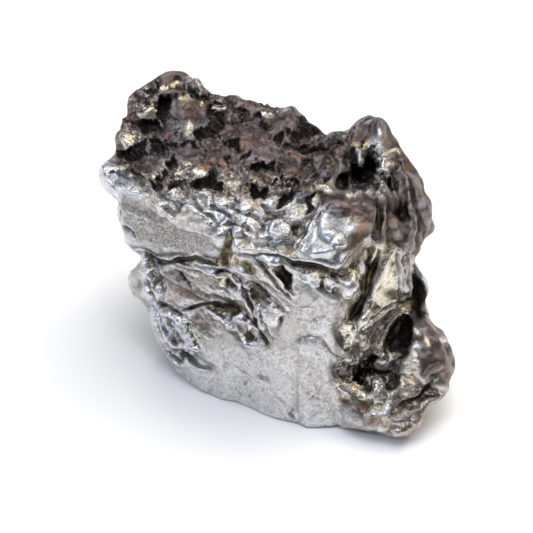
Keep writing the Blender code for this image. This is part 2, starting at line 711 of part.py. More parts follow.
def crown_underside(item):
    """Lift the rim of the underside so that only a middle flat bears on the ground."""
    points = get_points(item)
    across = (points[:, 0] - FLAT_MIDDLE[0]) / FLAT_RADII[0]
    deep = (points[:, 1] - FLAT_MIDDLE[1]) / FLAT_RADII[1]
    away = np.hypot(across, deep)
    low = 1.0 - smoothstep(1.5, UNDERSIDE_REACH, points[:, 2])
    lift = CROWN * smoothstep(0.5, 1.15, away) * low
    under = np.zeros(len(points))
    for index in np.nonzero(low > 0.0)[0]:
        under[index] = noise.fractal(Vector(points[index]) / UNDERSIDE_SIZE, 0.8, 2.1, 2)
    points[:, 2] += lift + UNDERSIDE_DEPTH * (under + 0.4) * low
    set_points(item, points)


# Finish
def thin_out(item, wanted):
    have = sum(len(p.vertices) - 2 for p in item.data.polygons)
    step = item.modifiers.new("thin", "DECIMATE")
    step.decimate_type = "COLLAPSE"
    step.ratio = min(1.0, wanted / have)
    step.use_collapse_triangulate = True
    apply_modifiers(item)


def cut_flat(item, cutters):
    """Take off all that lies under the worn flat the lump rests on."""
    bm = bmesh.new()
    bmesh.ops.create_cube(bm, size=2.0 * GROUND_REACH)
    bmesh.ops.translate(bm, verts=bm.verts, vec=(0.0, 0.0, FLAT_LEVEL - GROUND_REACH))
    ground = object_from(bm, "ground", cutters)
    carve(item, ground)
    bpy.data.objects.remove(ground, do_unlink=True)
    bm = bmesh.new()
    bm.from_mesh(item.data)
    bmesh.ops.triangulate(bm, faces=[f for f in bm.faces if len(f.verts) > 3])
    bm.to_mesh(item.data)
    bm.free()
    keep_largest(item)


def place(item):
    """Middle of the box over the origin, flat at Z = 0, in metres."""
    points = get_points(item)
    low = points.min(axis=0)
    high = points.max(axis=0)
    middle = (low + high) / 2.0
    points -= np.array([middle[0], middle[1], FLAT_LEVEL])
    set_points(item, points * MM)


def iron():
    material = bpy.data.materials.new("iron")
    material.use_nodes = True
    shader = material.node_tree.nodes["Principled BSDF"]
    shader.inputs["Base Color"].default_value = (0.42, 0.41, 0.40, 1.0)
    shader.inputs["Metallic"].default_value = 1.0
    shader.inputs["Roughness"].default_value = 0.36
    return material


def build():
    clear_scene()
    home = named_collection("iron_meteorite")
    cutters = named_collection("cutters")
    blocks = [
        hull_object("core", core_corners(), home),
        hull_object("brow", brow_corners(), home),
        hull_object("front_block", front_block_corners(), home),
        hull_object("left_peak", left_peak_corners(), home),
        hull_object("right_peak", right_peak_corners(), home),
        hull_object("pillar", pillar_corners(), home),
        hull_object("fan", fan_corners(), home),
        hull_object("side_knob", side_knob_corners(), home),
        hull_object("back_slab", back_slab_corners(), home),
        hull_object("side_slab", side_slab_corners(), home),
    ]
    for name, place_at, radii in LOBE_BALLS:
        blocks.append(ball_object(name, place_at, radii, home))
    lump = join(blocks, "iron_meteorite", home)
    remesh(lump, VOXEL)
    for corners in (corner_cave_corners(), side_cave_corners()):
        cave = hull_object("corner_cave", corners, cutters)
        carve(lump, cave)
        bpy.data.objects.remove(cave, do_unlink=True)
    for name, place_at, radii, turn in HOLLOW_BALLS:
        cutter = ball_object(name, place_at, radii, cutters, turn)
        carve(lump, cutter)
        bpy.data.objects.remove(cutter, do_unlink=True)
    extra = [ball_object(n, p, r, home) for n, p, r in LUMP_BALLS]
    extra.append(hull_object("corner_bar", corner_bar_corners(), home))
    lump = join([lump] + extra, "iron_meteorite", home)
    remesh(lump, FINE_VOXEL)
    keep_largest(lump)
    relax(lump, 0.5, 5)
    crown_underside(lump)
    fit_outline(lump, 3)
    share = add_seen_relief(lump)
    add_grown_relief(lump, share)
    fit_outline(lump, 2)
    remesh(lump, FINE_VOXEL)
    keep_largest(lump)
    thin_out(lump, TRIANGLES)
    cut_flat(lump, cutters)
    place(lump)
    lump.data.materials.clear()
    lump.data.materials.append(iron())
    lump.name = "iron_meteorite"
    lump.data.name = "iron_meteorite"
    for face in lump.data.polygons:
        face.use_smooth = True


build()
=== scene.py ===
import math

import bmesh
import bpy
import numpy as np
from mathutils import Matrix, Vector


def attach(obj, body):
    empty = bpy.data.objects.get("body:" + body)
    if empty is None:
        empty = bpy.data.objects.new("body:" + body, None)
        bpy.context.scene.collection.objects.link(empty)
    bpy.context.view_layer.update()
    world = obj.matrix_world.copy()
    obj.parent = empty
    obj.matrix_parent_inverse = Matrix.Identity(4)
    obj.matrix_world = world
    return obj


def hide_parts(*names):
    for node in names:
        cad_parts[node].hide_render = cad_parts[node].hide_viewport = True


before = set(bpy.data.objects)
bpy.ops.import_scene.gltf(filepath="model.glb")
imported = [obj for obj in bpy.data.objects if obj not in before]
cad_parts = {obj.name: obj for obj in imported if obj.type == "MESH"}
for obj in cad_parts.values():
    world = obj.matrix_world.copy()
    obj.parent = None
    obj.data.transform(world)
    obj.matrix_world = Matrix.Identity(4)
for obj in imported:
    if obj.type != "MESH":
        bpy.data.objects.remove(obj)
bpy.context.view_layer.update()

# Scale of the view: the picture is a square of MARKS by MARKS marks
MM = 0.001
MARKS = 533
MARK_SIZE = 0.2
VIEW_RISE = 42.0
VIEW_DISTANCE = 350.0
TARGET = Vector((-2.2416534, -14.1344347, 36.0))
CELLS = 2

# Mesh refinement, in mm
FUSE_SIZE = 0.4
FINE_SIZE = 0.25
TRIANGLES = 190000
# Rounds of evening out, and how hard each pulls in and pushes back out
EVEN_ROUNDS = 8
EVEN_PULL = 0.6
EVEN_PUSH = 0.62
# Rounds that find small and wide hollows
NEAR_ROUNDS = 10
WIDE_ROUNDS = 60


def view_axes():
    rise = math.radians(VIEW_RISE)
    across = Vector((1.0, 0.0, 0.0))
    up = Vector((0.0, math.sin(rise), math.cos(rise)))
    toward = Vector((0.0, -math.cos(rise), math.sin(rise)))
    return across, up, toward


ACROSS, UP, TOWARD = view_axes()
EYE = TARGET + TOWARD * VIEW_DISTANCE


def smoothstep(low, high, value):
    t = np.clip((value - low) / (high - low), 0.0, 1.0)
    return t * t * (3.0 - 2.0 * t)


# Seeded noise
def hashed(*whole, seed=0):
    """Repeatable value in 0 to 1 for whole-number coordinates."""
    mixed = np.full(whole[0].shape, (seed * 668265263 + 374761393) & 0xFFFFFFFF, dtype=np.uint64)
    for number, factor in zip(whole, (2654435761, 2246822519, 3266489917)):
        mixed ^= (number.astype(np.int64).astype(np.uint64) * np.uint64(factor)) & np.uint64(0xFFFFFFFF)
        mixed = (mixed ^ (mixed >> np.uint64(15))) * np.uint64(2246822519)
        mixed &= np.uint64(0xFFFFFFFF)
        mixed ^= mixed >> np.uint64(13)
    return (mixed & np.uint64(0xFFFFFF)).astype(float) / float(0xFFFFFF)


def wave2(x, y, seed):
    """Smooth value noise in -1 to 1 over a plane."""
    ix = np.floor(x)
    iy = np.floor(y)
    fx = x - ix
    fy = y - iy
    fx = fx * fx * fx * (fx * (fx * 6.0 - 15.0) + 10.0)
    fy = fy * fy * fy * (fy * (fy * 6.0 - 15.0) + 10.0)
    c00 = hashed(ix, iy, seed=seed)
    c10 = hashed(ix + 1, iy, seed=seed)
    c01 = hashed(ix, iy + 1, seed=seed)
    c11 = hashed(ix + 1, iy + 1, seed=seed)
    low = c00 + (c10 - c00) * fx
    high = c01 + (c11 - c01) * fx
    return (low + (high - low) * fy) * 2.0 - 1.0


def wave3(p, size, seed):
    """Smooth value noise in -1 to 1 through space."""
    q = p / size
    base = np.floor(q)
    f = q - base
    f = f * f * f * (f * (f * 6.0 - 15.0) + 10.0)
    out = np.zeros(len(p))
    for dx in (0, 1):
        wx = f[:, 0] if dx else 1.0 - f[:, 0]
        for dy in (0, 1):
            wy = f[:, 1] if dy else 1.0 - f[:, 1]
            for dz in (0, 1):
                wz = f[:, 2] if dz else 1.0 - f[:, 2]
                value = hashed(base[:, 0] + dx, base[:, 1] + dy, base[:, 2] + dz, seed=seed)
                out += wx * wy * wz * value
    return out * 2.0 - 1.0


def layers3(p, size, seed, octaves, gain=0.5):
    out = np.zeros(len(p))
    share = 1.0
    for k in range(octaves):
        out += share * wave3(p + 17.3 * k, size, seed + k)
        size *= 0.48
        share *= gain
    return out


def ridges3(p, size, seed, octaves, gain=0.55):
    out = np.zeros(len(p))
    share = 1.0
    for k in range(octaves):
        out += share * (1.0 - 2.0 * np.abs(wave3(p + 11.7 * k, size, seed + k)))
        size *= 0.48
        share *= gain
    return out


def layers2(x, y, seed, octaves, gain=0.5):
    out = np.zeros(x.shape)
    share = 1.0
    for k in range(octaves):
        out += share * wave2(x + 31.7 * k, y + 13.1 * k, seed + k)
        x = x * 2.07
        y = y * 2.07
        share *= gain
    return out


# Relief and finish drawn over the view, on a grid of CELLS per mark
SIDE = MARKS * CELLS
VV, UU = (np.mgrid[0:SIDE, 0:SIDE] + 0.5) / CELLS
WARP_SIZE = 11.0
WARP_REACH = 2.4
WARP_U = WARP_REACH * layers2(UU / WARP_SIZE, VV / WARP_SIZE, 101, 4, 0.6)
WARP_V = WARP_REACH * layers2(UU / WARP_SIZE, VV / WARP_SIZE, 151, 4, 0.6)
RISE = np.zeros((SIDE, SIDE))
# Share by which drawn swellings and creases are strengthened
FORM = 1.5
# Finishes; some hold painted light: painted shade in pits, cracks and holes, painted highlights on
# burnished spots, a painted bluish reflection tint, and painted shade in creases along with a darker tone
FINISHES = ("brass", "rust", "oxide", "shine", "pit_shade", "calm", "dim", "warm", "cool")
PAINT = {name: np.zeros((SIDE, SIDE)) for name in FINISHES}


def window(marks, margin):
    """Slices of the grid round some marks."""
    u, v = zip(*marks)
    u0 = max(0, int((min(u) - margin) * CELLS))
    u1 = min(SIDE, int((max(u) + margin) * CELLS) + 1)
    v0 = max(0, int((min(v) - margin) * CELLS))
    v1 = min(SIDE, int((max(v) + margin) * CELLS) + 1)
    return slice(v0, v1), slice(u0, u1)


def bent(part, bend):
    """Places of a part of the grid, shifted so that straight edges come out ragged."""
    return UU[part] + bend * WARP_U[part], VV[part] + bend * WARP_V[part]


def turned(turn):
    """Cosine and sine of a turn in degrees."""
    return math.cos(math.radians(turn)), math.sin(math.radians(turn))


def paint(name, part, amount):
    """Lay a finish over part of the grid, where it is stronger than what is there."""
    PAINT[name][part] = np.maximum(PAINT[name][part], amount)


def dab_window(u, v, half_w, half_h):
    return window([(u, v)], 2.4 * max(half_w, half_h) + 4.0)


def dab_shape(part, u, v, half_w, half_h, turn, bend, firm):
    """1 in the middle of an oval, falling to 0 outside it."""
    uu, vv = bent(part, bend)
    c, s = turned(turn)
    a = ((uu - u) * c + (vv - v) * s) / half_w
    b = ((vv - v) * c - (uu - u) * s) / half_h
    return np.exp(-((1.15 * (a * a + b * b)) ** firm))


def dab(u, v, half_w, half_h, rise, turn=0.0, bend=0.5, firm=1.0):
    """Round swelling or pit. Firm above 1 gives it a flat middle and steep sides."""
    part = dab_window(u, v, half_w, half_h)
    RISE[part] += FORM * rise * dab_shape(part, u, v, half_w, half_h, turn, bend, firm)


def knob(u, v, half_w, half_h, rise, turn=0.0):
    """Swelling with a flat middle."""
    dab(u, v, half_w, half_h, rise, turn, 0.5, 1.5)


def facet(u, v, half_w, half_h, rise, lean):
    """Flat patch tipped by lean mm per mark downward."""
    part = dab_window(u, v, half_w, half_h)
    mask = dab_shape(part, u, v, half_w, half_h, 0.0, 0.8, 2.0)
    tipped = rise + lean * (VV[part] - v)
    RISE[part] = RISE[part] * (1.0 - 0.75 * mask) + mask * tipped


def tint(name, u, v, half_w, half_h, amount, turn=0.0, bend=1.0):
    """Spot of a finish."""
    part = dab_window(u, v, half_w, half_h)
    paint(name, part, amount * dab_shape(part, u, v, half_w, half_h, turn, bend, 1.4))


def painted_glint(u, v, half_w, half_h, gold, turn=0.0):
    """Painted highlight: a burnished spot with a share of gold."""
    tint("shine", u, v, half_w, half_h, 1.0, turn)
    tint("warm", u, v, half_w, half_h, gold, turn)


def lump_with_highlight(u, v, half_w, half_h, rise, turn, tone, share):
    """Swelling with a painted highlight, tinted warm or with a painted bluish reflection."""
    knob(u, v, half_w, half_h, rise, turn)
    tint("shine", u, v, half_w, half_h, 1.0, turn)
    tint(tone, u, v, half_w, half_h, share, turn)


def run_distance(part, marks, bend):
    """Distance from a chain of marks, and how far along it the nearest point is."""
    uu, vv = bent(part, bend)
    best = np.full(uu.shape, 1e9)
    along = np.zeros(uu.shape)
    side = np.zeros(uu.shape)
    count = len(marks) - 1
    for k, ((u0, v0), (u1, v1)) in enumerate(zip(marks[:-1], marks[1:])):
        du = u1 - u0
        dv = v1 - v0
        length = math.hypot(du, dv)
        t = np.clip(((uu - u0) * du + (vv - v0) * dv) / (length * length), 0.0, 1.0)
        away = np.hypot(uu - u0 - t * du, vv - v0 - t * dv)
        nearer = away < best
        best = np.where(nearer, away, best)
        along = np.where(nearer, (k + t) / count, along)
        side = np.where(nearer, ((uu - u0) * dv - (vv - v0) * du) / length, side)
    return best, along, side


def run(marks, half_w, rise, bend=0.35, taper=0.25, firm=1.0):
    """Ridge or crease along a chain of marks, thinning out at its ends."""
    part = window(marks, 3.0 * half_w + 5.0)
    away, along, _ = run_distance(part, marks, bend)
    ends = np.clip(np.minimum(along, 1.0 - along) / max(taper, 1e-3), 0.0, 1.0)
    width = half_w * (0.45 + 0.55 * ends)
    RISE[part] += FORM * rise * (0.35 + 0.65 * ends) * np.exp(-((away / width) ** (2.0 * firm)))


def tint_run(name, marks, half_w, amount, bend=0.8):
    """Stripe of a finish along a chain of marks."""
    part = window(marks, 3.0 * half_w + 5.0)
    away, _, _ = run_distance(part, marks, bend)
    paint(name, part, amount * np.exp(-((away / half_w) ** 2)))


def stained(marks, half_w, rise, name, reach, amount, bend=0.8):
    """Ridge or crease with a stripe of a finish along it."""
    run(marks, half_w, rise, bend)
    tint_run(name, marks, reach, amount)


def edge(marks, reach, rise, bend=0.3):
    """Step along a chain: the side to the left of its travel stands higher, easing off over reach."""
    part = window(marks, 2.6 * reach + 5.0)
    away, along, side = run_distance(part, marks, bend)
    ends = smoothstep(0.0, 0.15, np.minimum(along, 1.0 - along))
    RISE[part] += 0.5 * rise * ends * np.tanh(side / 0.7) * np.exp(-away / reach)


def loop_mask(loop, soft, bend=1.0):
    """1 inside a loop of marks and 0 outside, with a soft edge."""
    part = window(loop, 3.0 * soft + 6.0)
    uu, vv = bent(part, bend)
    odd = np.zeros(uu.shape, dtype=bool)
    best = np.full(uu.shape, 1e9)
    for (u0, v0), (u1, v1) in zip(loop, loop[1:] + loop[:1]):
        du = u1 - u0
        dv = v1 - v0
        t = np.clip(((uu - u0) * du + (vv - v0) * dv) / (du * du + dv * dv), 0.0, 1.0)
        best = np.minimum(best, np.hypot(uu - u0 - t * du, vv - v0 - t * dv))
        if v0 != v1:
            crosses = (vv >= min(v0, v1)) & (vv < max(v0, v1))
            odd ^= crosses & (uu < u0 + (vv - v0) * du / dv)
    signed = np.where(odd, best, -best)
    return part, smoothstep(-soft, soft, signed)


def fill(name, loop, amount, soft=4.0, bend=1.0):
    """Lay a finish inside a loop."""
    part, mask = loop_mask(loop, soft, bend)
    paint(name, part, amount * mask)


def polish_with_highlight(loop, gold, soft=1.5):
    """Burnished patch with a painted highlight and a share of gold."""
    fill("shine", loop, 1.0, soft)
    fill("warm", loop, gold, soft)


def plate(loop, rise, lean, soft=1.2, bend=1.0):
    """Raised or sunk plate; lean is its rise in mm per mark to the right and downward."""
    part, mask = loop_mask(loop, soft, bend)
    u_mid, v_mid = (sum(side) / len(loop) for side in zip(*loop))
    slope = lean[0] * (UU[part] - u_mid) + lean[1] * (VV[part] - v_mid)
    RISE[part] = RISE[part] * (1.0 - 0.6 * mask) + mask * (rise + slope)


def grain(kind, loop, size, rise, seed, octaves=3, turn=0.0, stretch=1.0):
    """Waves, sharp ridges or folds inside a loop, drawn out along the direction turn."""
    part, mask = loop_mask(loop, 5.0)
    c, s = turned(turn)
    x = (UU[part] * c + VV[part] * s) / (size * stretch)
    y = (VV[part] * c - UU[part] * s) / size
    x += 0.35 * WARP_U[part] / size
    y += 0.35 * WARP_V[part] / size
    value = layers2(x, y, seed, octaves)
    if kind == "ridge":
        value = 1.0 - 2.0 * np.abs(value)
    if kind == "fold":
        value = 2.0 * np.abs(value) - 0.6
    RISE[part] += mask * rise * value


def pit(loop, depth=0.7, dark=1.0, soft=1.0, bend=1.2):
    """Ragged hole with steep sides and painted shade inside."""
    part, mask = loop_mask(loop, soft, bend)
    RISE[part] -= depth * mask
    paint("pit_shade", part, dark * mask)


def clear(name, loop, amount, soft=3.0, bend=1.0):
    """Take some of a finish away again inside a loop."""
    part, mask = loop_mask(loop, soft, bend)
    PAINT[name][part] *= 1.0 - amount * mask


def flakes(loop, size, step, levels, seed, turn=0.0, stretch=1.0, dark=1.0, low=-9.0, deep=0.0):
    """Overlapping thin plates with ragged edges and painted shade in the cracks at their feet."""
    part, mask = loop_mask(loop, 4.0)
    c, s = turned(turn)
    x = (UU[part] * c + VV[part] * s + 0.8 * WARP_U[part]) / (size * stretch)
    y = (VV[part] * c - UU[part] * s + 0.8 * WARP_V[part]) / size
    value = levels * layers2(x, y, seed, 5, 0.52)
    level = np.floor(value)
    within = value - level
    RISE[part] += mask * step * (level + smoothstep(0.0, 0.16, within) - 0.35 * within)
    foot = smoothstep(0.80, 0.92, within)
    sunk = smoothstep(low + 0.25, low, value)
    RISE[part] -= mask * deep * sunk
    RISE[part] -= mask * 0.8 * step * foot
    paint("pit_shade", part, mask * dark * np.maximum(0.85 * foot, sunk))


def pits(loop, count, size, depth, seed):
    """Small scattered pits inside a loop."""
    rng = np.random.default_rng(seed)
    across, down = zip(*loop)
    part, mask = loop_mask(loop, 1.0)
    made = 0
    while made < count:
        u = rng.uniform(min(across), max(across))
        v = rng.uniform(min(down), max(down))
        scale = rng.uniform(0.55, 1.5)
        longer = rng.uniform(1.0, 2.2)
        turn = rng.uniform(0.0, 180.0)
        row = int(v * CELLS) - part[0].start
        column = int(u * CELLS) - part[1].start
        if not (0 <= row < mask.shape[0] and 0 <= column < mask.shape[1]):
            continue
        if mask[row, column] < 0.5:
            continue
        dab(u, v, size * scale * longer, size * scale, -depth * scale, turn, 0.3)
        made += 1


def each(form, rows):
    """Draw one kind of form for every row of a table."""
    for row in rows:
        form(*row)


# Regions of the seen side, as loops of marks
DISH = [
    (118, 168), (115, 140), (121, 115), (131, 93), (150, 78), (182, 68), (200, 90),
    (232, 92), (290, 104), (326, 134), (345, 130), (360, 120), (350, 146), (338, 165),
    (318, 188), (300, 196), (260, 200), (238, 195), (215, 194), (190, 196), (165, 196),
    (150, 187), (130, 178),
]
BEVEL = [
    (128, 184), (150, 188), (190, 198), (215, 195), (260, 201), (305, 200), (316, 212),
    (300, 250), (292, 258), (240, 250), (226, 254), (212, 236), (178, 227), (152, 211),
    (137, 193),
]
BROW = [
    (118, 188), (136, 196), (150, 213), (178, 230), (212, 240), (222, 256), (200, 254),
    (178, 255), (150, 249), (133, 247), (121, 232),
]
FOLDS = [
    (158, 260), (222, 264), (292, 262), (298, 300), (268, 345), (225, 332), (196, 350),
    (160, 305),
]
CHROME_LEFT = [
    (140, 250), (158, 258), (162, 300), (188, 316), (202, 352), (188, 354), (164, 346),
    (148, 305),
]
LOW_FACE = [
    (200, 350), (230, 340), (268, 350), (297, 345), (297, 424), (262, 417), (220, 402),
    (187, 382), (172, 368),
]
PLATES = [
    (290, 300), (306, 284), (322, 287), (335, 295), (341, 302), (344, 312), (340, 325),
    (337, 340), (345, 352), (337, 361), (334, 372), (337, 385), (341, 396), (348, 406),
    (358, 414), (368, 423), (386, 432), (352, 435), (338, 430), (300, 428), (297, 345),
]
BLOCK = [
    (330, 196), (376, 198), (372, 232), (350, 252), (338, 266), (312, 259), (298, 252),
    (314, 214),
]
FLANK = [
    (392, 120), (412, 151), (426, 170), (440, 205), (443, 222), (430, 244), (418, 258),
    (404, 246), (390, 248), (374, 240), (380, 200), (396, 188), (388, 156),
]
RIGHT_MID = [
    (342, 262), (372, 236), (392, 246), (412, 250), (424, 285), (430, 322), (408, 322),
    (380, 352), (345, 353), (337, 340), (340, 325), (344, 312), (341, 302), (335, 294),
]
FOOT_LOBE = [
    (345, 353), (372, 352), (408, 318), (431, 320), (450, 334), (460, 358), (454, 385),
    (434, 412), (421, 434), (395, 442), (386, 432), (368, 423), (358, 414), (348, 406),
    (341, 396), (337, 385), (334, 372), (337, 361),
]
FAN = [(398, 306), (404, 318), (384, 344), (368, 354), (350, 352), (360, 332), (378, 316)]
COLUMN = [(396, 243), (409, 240), (413, 262), (411, 296), (400, 303), (398, 270)]
TRIANGLE = [(394, 252), (397, 275), (397, 303), (384, 306), (369, 300), (378, 280)]
PEAK = [
    (336, 130), (352, 118), (369, 106), (394, 118), (412, 151), (398, 160), (384, 146),
    (370, 138), (350, 146),
]
LOBE_DOME = [
    (408, 330), (418, 312), (436, 314), (458, 332), (468, 358), (458, 384), (430, 388), (420, 374),
    (418, 350),
]


# Forms of the seen side, region by region
# A row of runs is a chain of marks, half width and rise; a row of dabs or knobs is a mark, half
# width, half height, rise and turn. Rises are in mm, turns in degrees, all other sizes in marks.
# Left corner knob, burnished, with painted highlights and a painted bluish reflection
CORNER = [
    (98, 172), (106, 158), (122, 168), (140, 184), (152, 198), (136, 200), (122, 194), (120, 210),
    (124, 232), (116, 226), (112, 196), (102, 186),
]
CORNER_DENT = (111, 172, 6, 5, -0.5)
CORNER_RUNS = [
    ([(102, 172), (104, 164), (112, 159), (120, 161)], 2.4, 0.3),
    ([(118, 173), (130, 171), (145, 178), (156, 184)], 2, -0.7),
    ([(105, 175), (109, 182), (113, 188)], 2.2, 0.3),
    ([(121, 183), (130, 189), (139, 193)], 2.6, 0.4),
    ([(112, 186), (118, 196), (122, 210), (124, 226)], 2, 0.25),
]


def draw_left_corner():
    dab(*CORNER_DENT)
    each(run, CORNER_RUNS)
    fill("shine", CORNER, 1, 3)
    fill("cool", CORNER, 0.9, 3)


# Brow: the overhanging slab, with painted highlights as pale flows over its upper edge and a brass valley
# at its right, painted shade down the valley line
BROW_RUNS = [
    ([(140, 190), (160, 200), (173, 218)], 2.2, 0.35),
    ([(146, 187), (166, 197), (182, 212)], 2, -0.35),
    ([
        (133, 253), (142, 252), (152, 256), (160, 261), (172, 263), (180, 259), (197, 257), (206, 262),
        (222, 265),
    ], 2, -0.6, 0.35, 0.25, 1.3),
    ([
        (133, 249), (140, 248), (150, 251), (158, 256), (172, 259), (179, 255), (197, 253), (206, 258),
        (222, 260),
    ], 1.6, 0.25),
    ([(120, 224), (128, 230), (135, 237)], 1.5, -0.8),
    ([(229, 226), (230, 240), (228, 252), (226, 264)], 4.5, -0.4, 1),
]
BROW_STEP = [(137, 193), (152, 211), (170, 221), (178, 228), (200, 233), (212, 237), (222, 250)]
BROW_DABS = [(120, 211, 4, 7, -0.35), (220, 234, 5, 9, 0.5, 15)]
BROW_FLOWS = ((144, 194, 6, 2.5, 35), (160, 207, 10, 4, 38), (172, 218, 6, 4, 40), (152, 201, 6, 2, 40))
VALLEY = [(227, 224), (232, 234), (238, 250), (242, 262), (214, 263), (220, 250), (226, 238)]
VALLEY_LINE = [(228, 228), (229, 242), (223, 254), (216, 261)]


def draw_brow():
    each(run, BROW_RUNS)
    edge(BROW_STEP, 5, 0.35)
    each(dab, BROW_DABS)
    fill("brass", VALLEY, 0.85, 2.5, 1.6)
    # Painted shade down the valley line
    tint_run("pit_shade", VALLEY_LINE, 1.6, 0.6, 1.4)
    grain("wave", BROW, 16, 0.14, 11, 2, 32, 2)
    grain("wave", BROW, 3, 0.07, 12, 3, 34, 3)
    # Painted highlights as pale flows
    for u, v, half_w, half_h, turn in BROW_FLOWS:
        lump_with_highlight(u, v, half_w, half_h, 0.3, turn, "warm", 0.9)


# Polished edge between the dish and the front faces, with painted shade in its creases and painted
# highlights on its lumps
BEVEL_LUMPS = [
    (222, 202, 8, 6, 0.5), (246, 206, 9, 8, 0.6), (238, 228, 7, 6, 0.45), (251, 232, 6, 7, 0.45),
    (200, 212, 9, 6, 0.45), (188, 206, 7, 5, 0.35), (208, 223, 8, 5, 0.4), (180, 215, 7, 5, 0.35),
    (232, 215, 6, 5, 0.35), (263, 213, 6, 6, 0.35), (166, 202, 8, 5, 0.3), (262, 236, 6, 6, 0.35),
]
BEVEL_DABS = [
    (280, 229, 16, 13, 0.7, 0, 0.5, 1.5), (277, 226, 5, 4, 0.3), (284, 233, 4, 3, 0.25),
    (296, 229, 4, 7, -0.9, 10), (268, 245, 3, 2, -0.4),
]
BEVEL_RING = [
    (268, 226), (272, 219), (284, 218), (291, 226), (288, 237), (276, 240), (268, 234), (268, 226),
]
RING_TOP = [(264, 220), (276, 216), (292, 217)]
BEVEL_CREASES = (
    [(194, 198), (198, 208), (212, 215), (216, 226)],
    [(212, 196), (214, 206), (230, 214), (236, 224)],
    [(236, 196), (234, 206), (244, 212), (258, 216), (262, 228)],
    [(216, 226), (232, 222), (246, 226), (258, 240)],
    [(172, 200), (180, 204), (192, 205)],
    [(262, 204), (270, 212), (290, 214)],
)
# Painted highlights: mark, half width and height, gold share
BEVEL_GLINTS = (
    (181, 196, 8, 4, 0.9), (182, 211, 9, 5, 0.8), (224, 206, 9, 6, 0.2), (240, 200, 6, 4, 0.5),
    (224, 230, 7, 7, 0.3), (250, 217, 6, 5, 0.2), (204, 203, 7, 4, 0.6), (262, 204, 7, 3, 0.6),
)
BEVEL_BRASS = ((206, 219, 6, 4), (192, 214, 5, 3), (236, 216, 5, 3), (262, 222, 3, 6), (246, 243, 10, 3))


def draw_bevel():
    each(knob, BEVEL_LUMPS)
    each(dab, BEVEL_DABS)
    run(BEVEL_RING, 1.3, -0.3, 1, 0.01)
    run(RING_TOP, 1.8, -0.6)
    grain("fold", BEVEL, 20, 0.42, 21, 2, 30, 1.3)
    grain("fold", BEVEL, 9, 0.1, 26, 2)
    # Creases darkened with painted shade
    for marks in BEVEL_CREASES:
        stained(marks, 1.8, -0.5, "dim", 2.4, 1)
    each(painted_glint, BEVEL_GLINTS)
    for spot in BEVEL_BRASS:
        tint("brass", *spot, 0.8)


# Fine lines down the strut between the polished edge and the block
STRUT_SHIFTS = (-6, -2, 2, 6)
STRUT_LINE = [(326, 202), (315, 216), (306, 234), (298, 248)]


def draw_strut():
    for shift in STRUT_SHIFTS:
        run([(u + shift, v) for u, v in STRUT_LINE], 1.2, -0.25)


# Square-shouldered block over the front corner, with the sharp lower edge that runs on from it
BLOCK_DABS = [(330, 231, 7, 4, 0.3), (340, 240, 7, 7, 0.6, 0, 0.5, 1.5), (360, 227, 10, 6, 0.3)]
BLOCK_FEET = ((315, 251), (329, 250))
BLOCK_RUNS = [
    ([(323, 206), (318, 222), (321, 236), (330, 243)], 1.6, -0.4),
    ([
        (240, 248), (262, 250), (280, 252), (293, 258), (310, 258), (325, 262), (338, 266), (346, 256),
        (356, 246), (372, 233),
    ], 2, 0.4),
    ([
        (240, 254), (262, 256), (280, 259), (293, 264), (310, 266), (325, 271), (338, 277), (352, 270),
        (362, 258), (374, 244),
    ], 3, -0.8),
]
BLOCK_TOP_GRAIN = [(326, 196), (376, 197), (374, 216), (334, 212)]
BLOCK_TOP = [(322, 194), (378, 195), (379, 214), (366, 218), (350, 216), (334, 211), (322, 206)]
BLOCK_RIGHT = [(356, 219), (378, 212), (376, 234), (352, 260), (344, 262), (350, 240)]


def draw_block():
    each(dab, BLOCK_DABS)
    for u, v in BLOCK_FEET:
        dab(u, v, 8, 6, 0.3, 10, 0.5, 1.8)
        dab(u, v, 4, 3, 0.25)
    each(run, BLOCK_RUNS)
    grain("fold", BLOCK_TOP_GRAIN, 7, 0.2, 33, 3, 8, 2.5)
    grain("wave", BLOCK, 14, 0.12, 31, 2)
    fill("oxide", BLOCK_TOP, 0.85, 5, 1.6)
    fill("oxide", BLOCK_RIGHT, 0.75, 5, 1.6)


# Slanting folds below the burnished edge, with painted shade along creases and painted highlights on
# streaks and lumps
FOLD_RUNS = [
    ([(172, 262), (200, 270), (230, 280), (258, 294)], 2.8, 0.35),
    ([(186, 262), (215, 268), (240, 276), (262, 288), (285, 302)], 2.4, 0.3),
    ([(205, 264), (235, 268), (262, 276), (280, 290)], 2.4, 0.3),
    ([(160, 270), (180, 282), (205, 298), (232, 306)], 2.6, 0.3),
    ([(180, 266), (206, 274), (232, 285), (252, 298)], 2, -0.4),
    ([(196, 264), (225, 271), (250, 281), (272, 295)], 1.8, -0.4),
    ([(237, 273), (243, 290), (250, 305), (258, 325), (268, 345)], 1.6, -0.8),
    ([(244, 275), (251, 292), (259, 308), (266, 326), (272, 340)], 1.4, -0.5),
    ([(241, 274), (247, 291), (254, 306), (262, 326), (270, 342)], 1.4, 0.35),
    ([(255, 258), (270, 275), (285, 292), (292, 298)], 1.6, -0.6),
    ([(261, 257), (276, 274), (289, 289)], 1.8, 0.35),
    ([(214, 275), (222, 268), (232, 272), (239, 285)], 2, -0.6),
    ([(206, 307), (215, 314), (230, 322)], 1.8, 0.5),
    ([(184, 309), (195, 307), (206, 304)], 1.3, -0.7),
    ([(178, 270), (185, 279), (192, 288)], 1.8, -0.7),
]
FOLD_DABS = [
    (226, 281, 11, 8, -0.7, 40), (223, 281, 4, 4, 0.35), (256, 295, 11, 9, -0.8, 45),
    (287, 280, 4, 14, -0.8, -25), (272, 317, 10, 12, 0.5, 0, 0.5, 1.6), (281, 320, 2.5, 4, -0.8),
    (228, 309, 21, 6, -0.8, 20),
]
